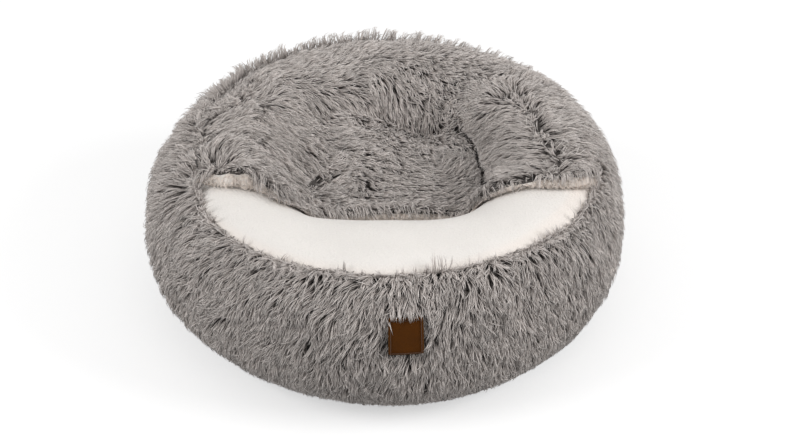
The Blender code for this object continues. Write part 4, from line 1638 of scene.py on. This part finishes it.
class BED_OT_ring(bpy.types.Operator):
    """Make the stuffed ring: its fibre, the backing of its fur and its cream lining"""

    bl_idname = "bed.ring"
    bl_label = "Ring"

    def execute(self, context):
        backing = context.scene.bed_sizes.backing
        turn = np.linspace(0, 2 * math.pi, 96, endpoint=False)
        filling = turned_mesh("rim_filling_fibre", np.column_stack(section(turn)), 96)
        finish(filling, fibre_material())
        cover = turned_mesh(
            "rim_fur_backing", panel_profile(BASE_ANGLE, CREST_ANGLE, 40, backing, backing), 128
        )
        finish(cover, backing_material())
        lining = turned_mesh(
            "rim_lining_plush",
            panel_profile(CREST_ANGLE, FOOT_ANGLE, 48, LINING_PILE, LINING_EDGE),
            128,
        )
        # Painted shade: the lining turns beige towards the crest seam, where the fur over it shades
        # it
        mapped(lining, SHADE_MAP, lambda place: 0.55 * near_seam(place, 0.012))
        finish(lining, plush_material())
        for piece, nodes in (
            (filling, ("rim_filling",)),
            (cover, ("rim_cover_front", "rim_cover_back")),
            (lining, ("rim_lining_front", "rim_lining_back")),
        ):
            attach(piece, "bed")
            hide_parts(*nodes)
        return {"FINISHED"}


class BED_OT_base(bpy.types.Operator):
    """Make the round base cloth, flat below and curved up to the base seam"""

    bl_idname = "bed.base"
    bl_label = "Base cloth"

    def execute(self, context):
        sole = np.linspace(-math.pi / 2, BASE_ANGLE, 14)
        lower = np.vstack([[(0, 0)], np.column_stack(section(sole, GAP + BASE_CLOTH))])
        upper = np.vstack([[(0, BASE_CLOTH)], np.column_stack(section(sole, GAP))])
        lower[:, 1] = np.maximum(lower[:, 1], 0)
        cloth = turned_mesh("base_cloth_dotted", np.vstack([lower, upper[::-1]]), 128)
        finish(cloth, base_material())
        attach(cloth, "bed")
        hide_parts("base_cloth")
        return {"FINISHED"}


class BED_OT_cushion(bpy.types.Operator):
    """Make the crowned cushion in the ring: a plush cover over fibre"""

    bl_idname = "bed.cushion"
    bl_label = "Cushion"

    def execute(self, context):
        wall = np.column_stack(section(np.linspace(math.pi, FOOT_ANGLE, 12), 2 * GAP + LINING_PILE))
        edge, side = wall[0], wall[1:]
        turn = np.linspace(0, math.pi / 2, 28)

        def crown(inset):
            """Radius e*sin(t), height from the edge up by the rise times cos(t)^(2/fullness)."""
            rise = (CUSHION_CROWN - edge[1]) * np.abs(np.cos(turn)) ** (2 / CUSHION_FULLNESS)
            return np.column_stack([(edge[0] - inset) * np.sin(turn), edge[1] + rise - inset])

        inner = side - (CUSHION_COVER, 0)
        shell = np.vstack([crown(0), side, inner[::-1], crown(CUSHION_COVER)[::-1]])
        cover = turned_mesh("cushion_plush", shell, 96)
        finish(cover, plush_material())
        inset = CUSHION_COVER + GAP
        inside = side - (inset, 0)
        foot = [(inside[-1][0], RING_BOTTOM), (0, RING_BOTTOM)]
        filling = turned_mesh("cushion_fibre", np.vstack([crown(inset), inside, foot]), 64)
        finish(filling, fibre_material())
        for piece, named in ((cover, "cushion_cover"), (filling, "cushion_filling")):
            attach(piece, "bed")
            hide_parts(named)
        return {"FINISHED"}


class BED_OT_hood(bpy.types.Operator):
    """Make the hood's cloth in three parts, each of a cream lining and the backing of its fur"""

    bl_idname = "bed.hood"
    bl_label = "Hood"

    def execute(self, context):
        sizes = context.scene.bed_sizes
        for side, columns, flat, area in (
            ("left", 36, (0.15, 0.28), 0.034),
            ("middle", 48, (0.19, 0.30), 0.056),
            ("right", 36, (0.14, 0.28), 0.030),
        ):
            rows = np.concatenate([np.linspace(0, 0.06, 9), np.linspace(0.06, 1, 58)[1:]])
            x, y = hood_plan(side, rows, columns)
            cloth = hood_height(x, y)
            over = over_roll(x, y)
            radius = hem_form(x)[0]
            depth = np.minimum(radius, HEM_ROLL_DEPTH)
            under = HOOD_PLUSH + (depth - HOOD_PLUSH) * np.cos(
                np.clip((y - hem_y(x)) / radius / HEM_UNDER, 0, 1) * math.pi / 2
            ) ** 2
            turn = np.linspace(0, math.pi / 2, 8)[:-1, None]
            above = roll_surface(x[:1] + 0 * turn, turn + 0 * x[:1])[0]
            below = roll_surface(x[:1] + 0 * turn, -turn + 0 * x[:1])[0]
            lining = sheet_mesh(
                f"hood_lining_{side}",
                np.concatenate([below, np.stack([x, y, cloth - under], axis=-1)]),
                np.concatenate([above, np.stack([x, y, cloth + over - GAP], axis=-1)]),
            )
            # Painted shade: the lining turns beige on the hem's roll, more where the roll is thin,
            # and by the seam
            mapped(
                lining,
                SHADE_MAP,
                lambda place: np.maximum(
                    (0.85 - 0.6 * hem_form(place[:, 0])[0] / sizes.hem_roll)
                    * smooth((hem_y(place[:, 0]) - place[:, 1]) / 0.004 + 1),
                    near_seam(place, 0.005),
                ),
            )
            finish(lining, plush_material())
            backing = sheet_mesh(
                f"hood_backing_{side}",
                np.stack([x, y, cloth + over], axis=-1),
                np.stack([x, y, cloth + over + sizes.backing], axis=-1),
            )
            finish(backing, backing_material())
            for piece, part in ((lining, "lining"), (backing, "fur")):
                blend_hood(piece, side)
                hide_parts(f"hood_flap_{part}" if side == "middle" else f"hood_{part}")
        for side, piece in grow_hem_pile():
            finish(piece, wisp_material())
            blend_hood(piece, side)
        return {"FINISHED"}


class BED_OT_ring_fur(bpy.types.Operator):
    """Grow the long pile of the ring"""

    bl_idname = "bed.ring_fur"
    bl_label = "Ring fur"

    def execute(self, context):
        for piece in grow_ring_pile():
            finish(piece, fur_material())
            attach(piece, "bed")
        return {"FINISHED"}


class BED_OT_hood_fur(bpy.types.Operator):
    """Grow the long pile of the hood"""

    bl_idname = "bed.hood_fur"
    bl_label = "Hood fur"

    def execute(self, context):
        for side, piece in grow_hood_pile():
            finish(piece, fur_material())
            blend_hood(piece, side)
        return {"FINISHED"}


class BED_OT_label(bpy.types.Operator):
    """Make the blank leatherette label, and finish its thread and the corner tacks"""

    bl_idname = "bed.label"
    bl_label = "Label and thread"

    def execute(self, context):
        steps = 33
        across, up = np.meshgrid(np.linspace(-1, 1, steps), np.linspace(-1, 1, steps))
        squeeze = 1 - 0.035 * (np.abs(across) ** 8) * (np.abs(up) ** 8)
        across, up = across * squeeze, up * squeeze
        centre = -math.pi / 2 + math.asin(LABEL_OFFSET_X / BED_RADIUS)
        azimuth = centre + across * LABEL_WIDTH / 2 / BED_RADIUS
        height = LABEL_CENTRE_HEIGHT + up * LABEL_HEIGHT / 2
        border = np.maximum(np.abs(across), np.abs(up))
        puff = 0.0005 * np.clip((1 - border) / 0.25, 0, 1) ** 0.5
        sides = []
        for outset in (GAP, GAP + LABEL_THICKNESS - 0.0004 + puff):
            radius = cover_radius(height, FUR_PRESSED) + outset
            east, north = radius * np.cos(azimuth), radius * np.sin(azimuth)
            sides.append(np.stack([east, north, height], axis=-1))
        label = sheet_mesh("label_leatherette", *sides)

        def near_edge(place):
            turned = np.arctan2(place[:, 1], place[:, 0]) - centre
            sideways = turned * BED_RADIUS / (LABEL_WIDTH / 2)
            upwards = (place[:, 2] - LABEL_CENTRE_HEIGHT) / (LABEL_HEIGHT / 2)
            return np.clip((np.maximum(np.abs(sideways), np.abs(upwards)) - 0.93) / 0.07, 0, 1)

        mapped(label, EDGE_MAP, near_edge)
        finish(label, leather_material())
        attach(label, "bed")
        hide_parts("front_label")
        colours = context.scene.bed_colours
        for name, finished, shade in (
            ("label_stitching", "label_thread", colours.label_thread),
            ("corner_tack_left", "tack_thread", colours.tack_thread),
            ("corner_tack_right", "tack_thread", colours.tack_thread),
        ):
            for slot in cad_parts[name].material_slots:
                slot.material = thread_material(finished, shade)
        return {"FINISHED"}


class BED_OT_stage(bpy.types.Operator):
    """Make the floor, the light and the camera"""

    bl_idname = "bed.stage"
    bl_label = "Stage"

    def execute(self, context):
        scene = context.scene
        scene.view_settings.view_transform = "Standard"
        square = np.array([(-1, -1), (1, -1), (1, 1), (-1, 1)]) * FLOOR_REACH
        square = np.column_stack([square, np.full(4, -FLOOR_DEPTH)])
        floor = put_mesh("floor", square, np.array([(0, 1, 2, 3)]), rounded=False)
        made, tree, shader = new_material("white_floor", 0.9)
        light = node(tree, "ShaderNodeLightPath")
        seen = node(
            tree,
            "ShaderNodeMath",
            {0: light.outputs["Is Camera Ray"], 1: light.outputs["Is Glossy Ray"]},
            operation="MAXIMUM",
        )
        tint = mixed_colour(tree, seen.outputs[0], [FLOOR_BOUNCE] * 3, [FLOOR_SHADE] * 3)
        tree.links.new(tint, shader.inputs["Base Color"])
        tree.links.new(seen.outputs[0], shader.inputs["Emission Color"])
        shader.inputs["Emission Strength"].default_value = FLOOR_GLOW
        floor.data.materials.append(made)
        world = bpy.data.worlds.new("studio")
        world.use_nodes = True
        scene.world = world
        tree = world.node_tree
        back = tree.nodes["Background"]
        light = node(tree, "ShaderNodeLightPath")
        level = node(
            tree,
            "ShaderNodeMapRange",
            {"Value": light.outputs["Is Camera Ray"], "To Min": WORLD_STRENGTH, "To Max": 1.0},
        )
        back.inputs["Color"].default_value = (1, 1, 1, 1)
        tree.links.new(level.outputs[0], back.inputs["Strength"])
        for name, place, power in LAMPS:
            lamp = bpy.data.lights.new(name, "AREA")
            lamp.shape, lamp.size, lamp.energy = "DISK", LAMP_SIZE, power
            obj = bpy.data.objects.new(name, lamp)
            obj.location = place
            obj.rotation_euler = look(place, AIM)
            scene.collection.objects.link(obj)
        camera = bpy.data.cameras.new("camera")
        camera.lens, camera.sensor_width = CAMERA_LENS, CAMERA_SENSOR
        camera.shift_x, camera.shift_y = (shift / PHOTO_WIDTH for shift in CAMERA_SHIFT)
        back = CAMERA_DISTANCE * math.cos(CAMERA_ELEVATION)
        place = (0, -back, AIM[2] + CAMERA_DISTANCE * math.sin(CAMERA_ELEVATION))
        obj = bpy.data.objects.new("camera", camera)
        obj.location = place
        obj.rotation_euler = look(place, AIM)
        scene.collection.objects.link(obj)
        scene.camera = obj
        return {"FINISHED"}


def look(place, aim):
    """Rotation that points -Z from a place to an aim."""
    return (Vector(aim) - Vector(place)).to_track_quat("-Z", "Y").to_euler()


STEPS = (
    BED_OT_stage,
    BED_OT_ring,
    BED_OT_base,
    BED_OT_cushion,
    BED_OT_hood,
    BED_OT_ring_fur,
    BED_OT_hood_fur,
    BED_OT_label,
)


class BED_PT_panel(bpy.types.Panel):
    """Sidebar panel with the bed's sizes, colours and pieces"""

    bl_idname = "BED_PT_panel"
    bl_label = "Hooded pet bed"
    bl_space_type = "VIEW_3D"
    bl_region_type = "UI"
    bl_category = "Pet Bed"

    def draw(self, context):
        for group in (context.scene.bed_sizes, context.scene.bed_colours):
            box = self.layout.box()
            for name in group.__annotations__:
                box.prop(group, name)
        for step in STEPS:
            self.layout.operator(step.bl_idname)


def register():
    for made in (BedSizes, BedColours, *STEPS, BED_PT_panel):
        bpy.utils.register_class(made)
    bpy.types.Scene.bed_sizes = bpy.props.PointerProperty(type=BedSizes)
    bpy.types.Scene.bed_colours = bpy.props.PointerProperty(type=BedColours)


def unregister():
    del bpy.types.Scene.bed_colours
    del bpy.types.Scene.bed_sizes
    for made in (BED_PT_panel, *reversed(STEPS), BedColours, BedSizes):
        bpy.utils.unregister_class(made)


def main():
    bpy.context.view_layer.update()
    register()
    for step in STEPS:
        group, name = step.bl_idname.split(".")
        getattr(getattr(bpy.ops, group), name)()


if __name__ == "__main__":
    main()
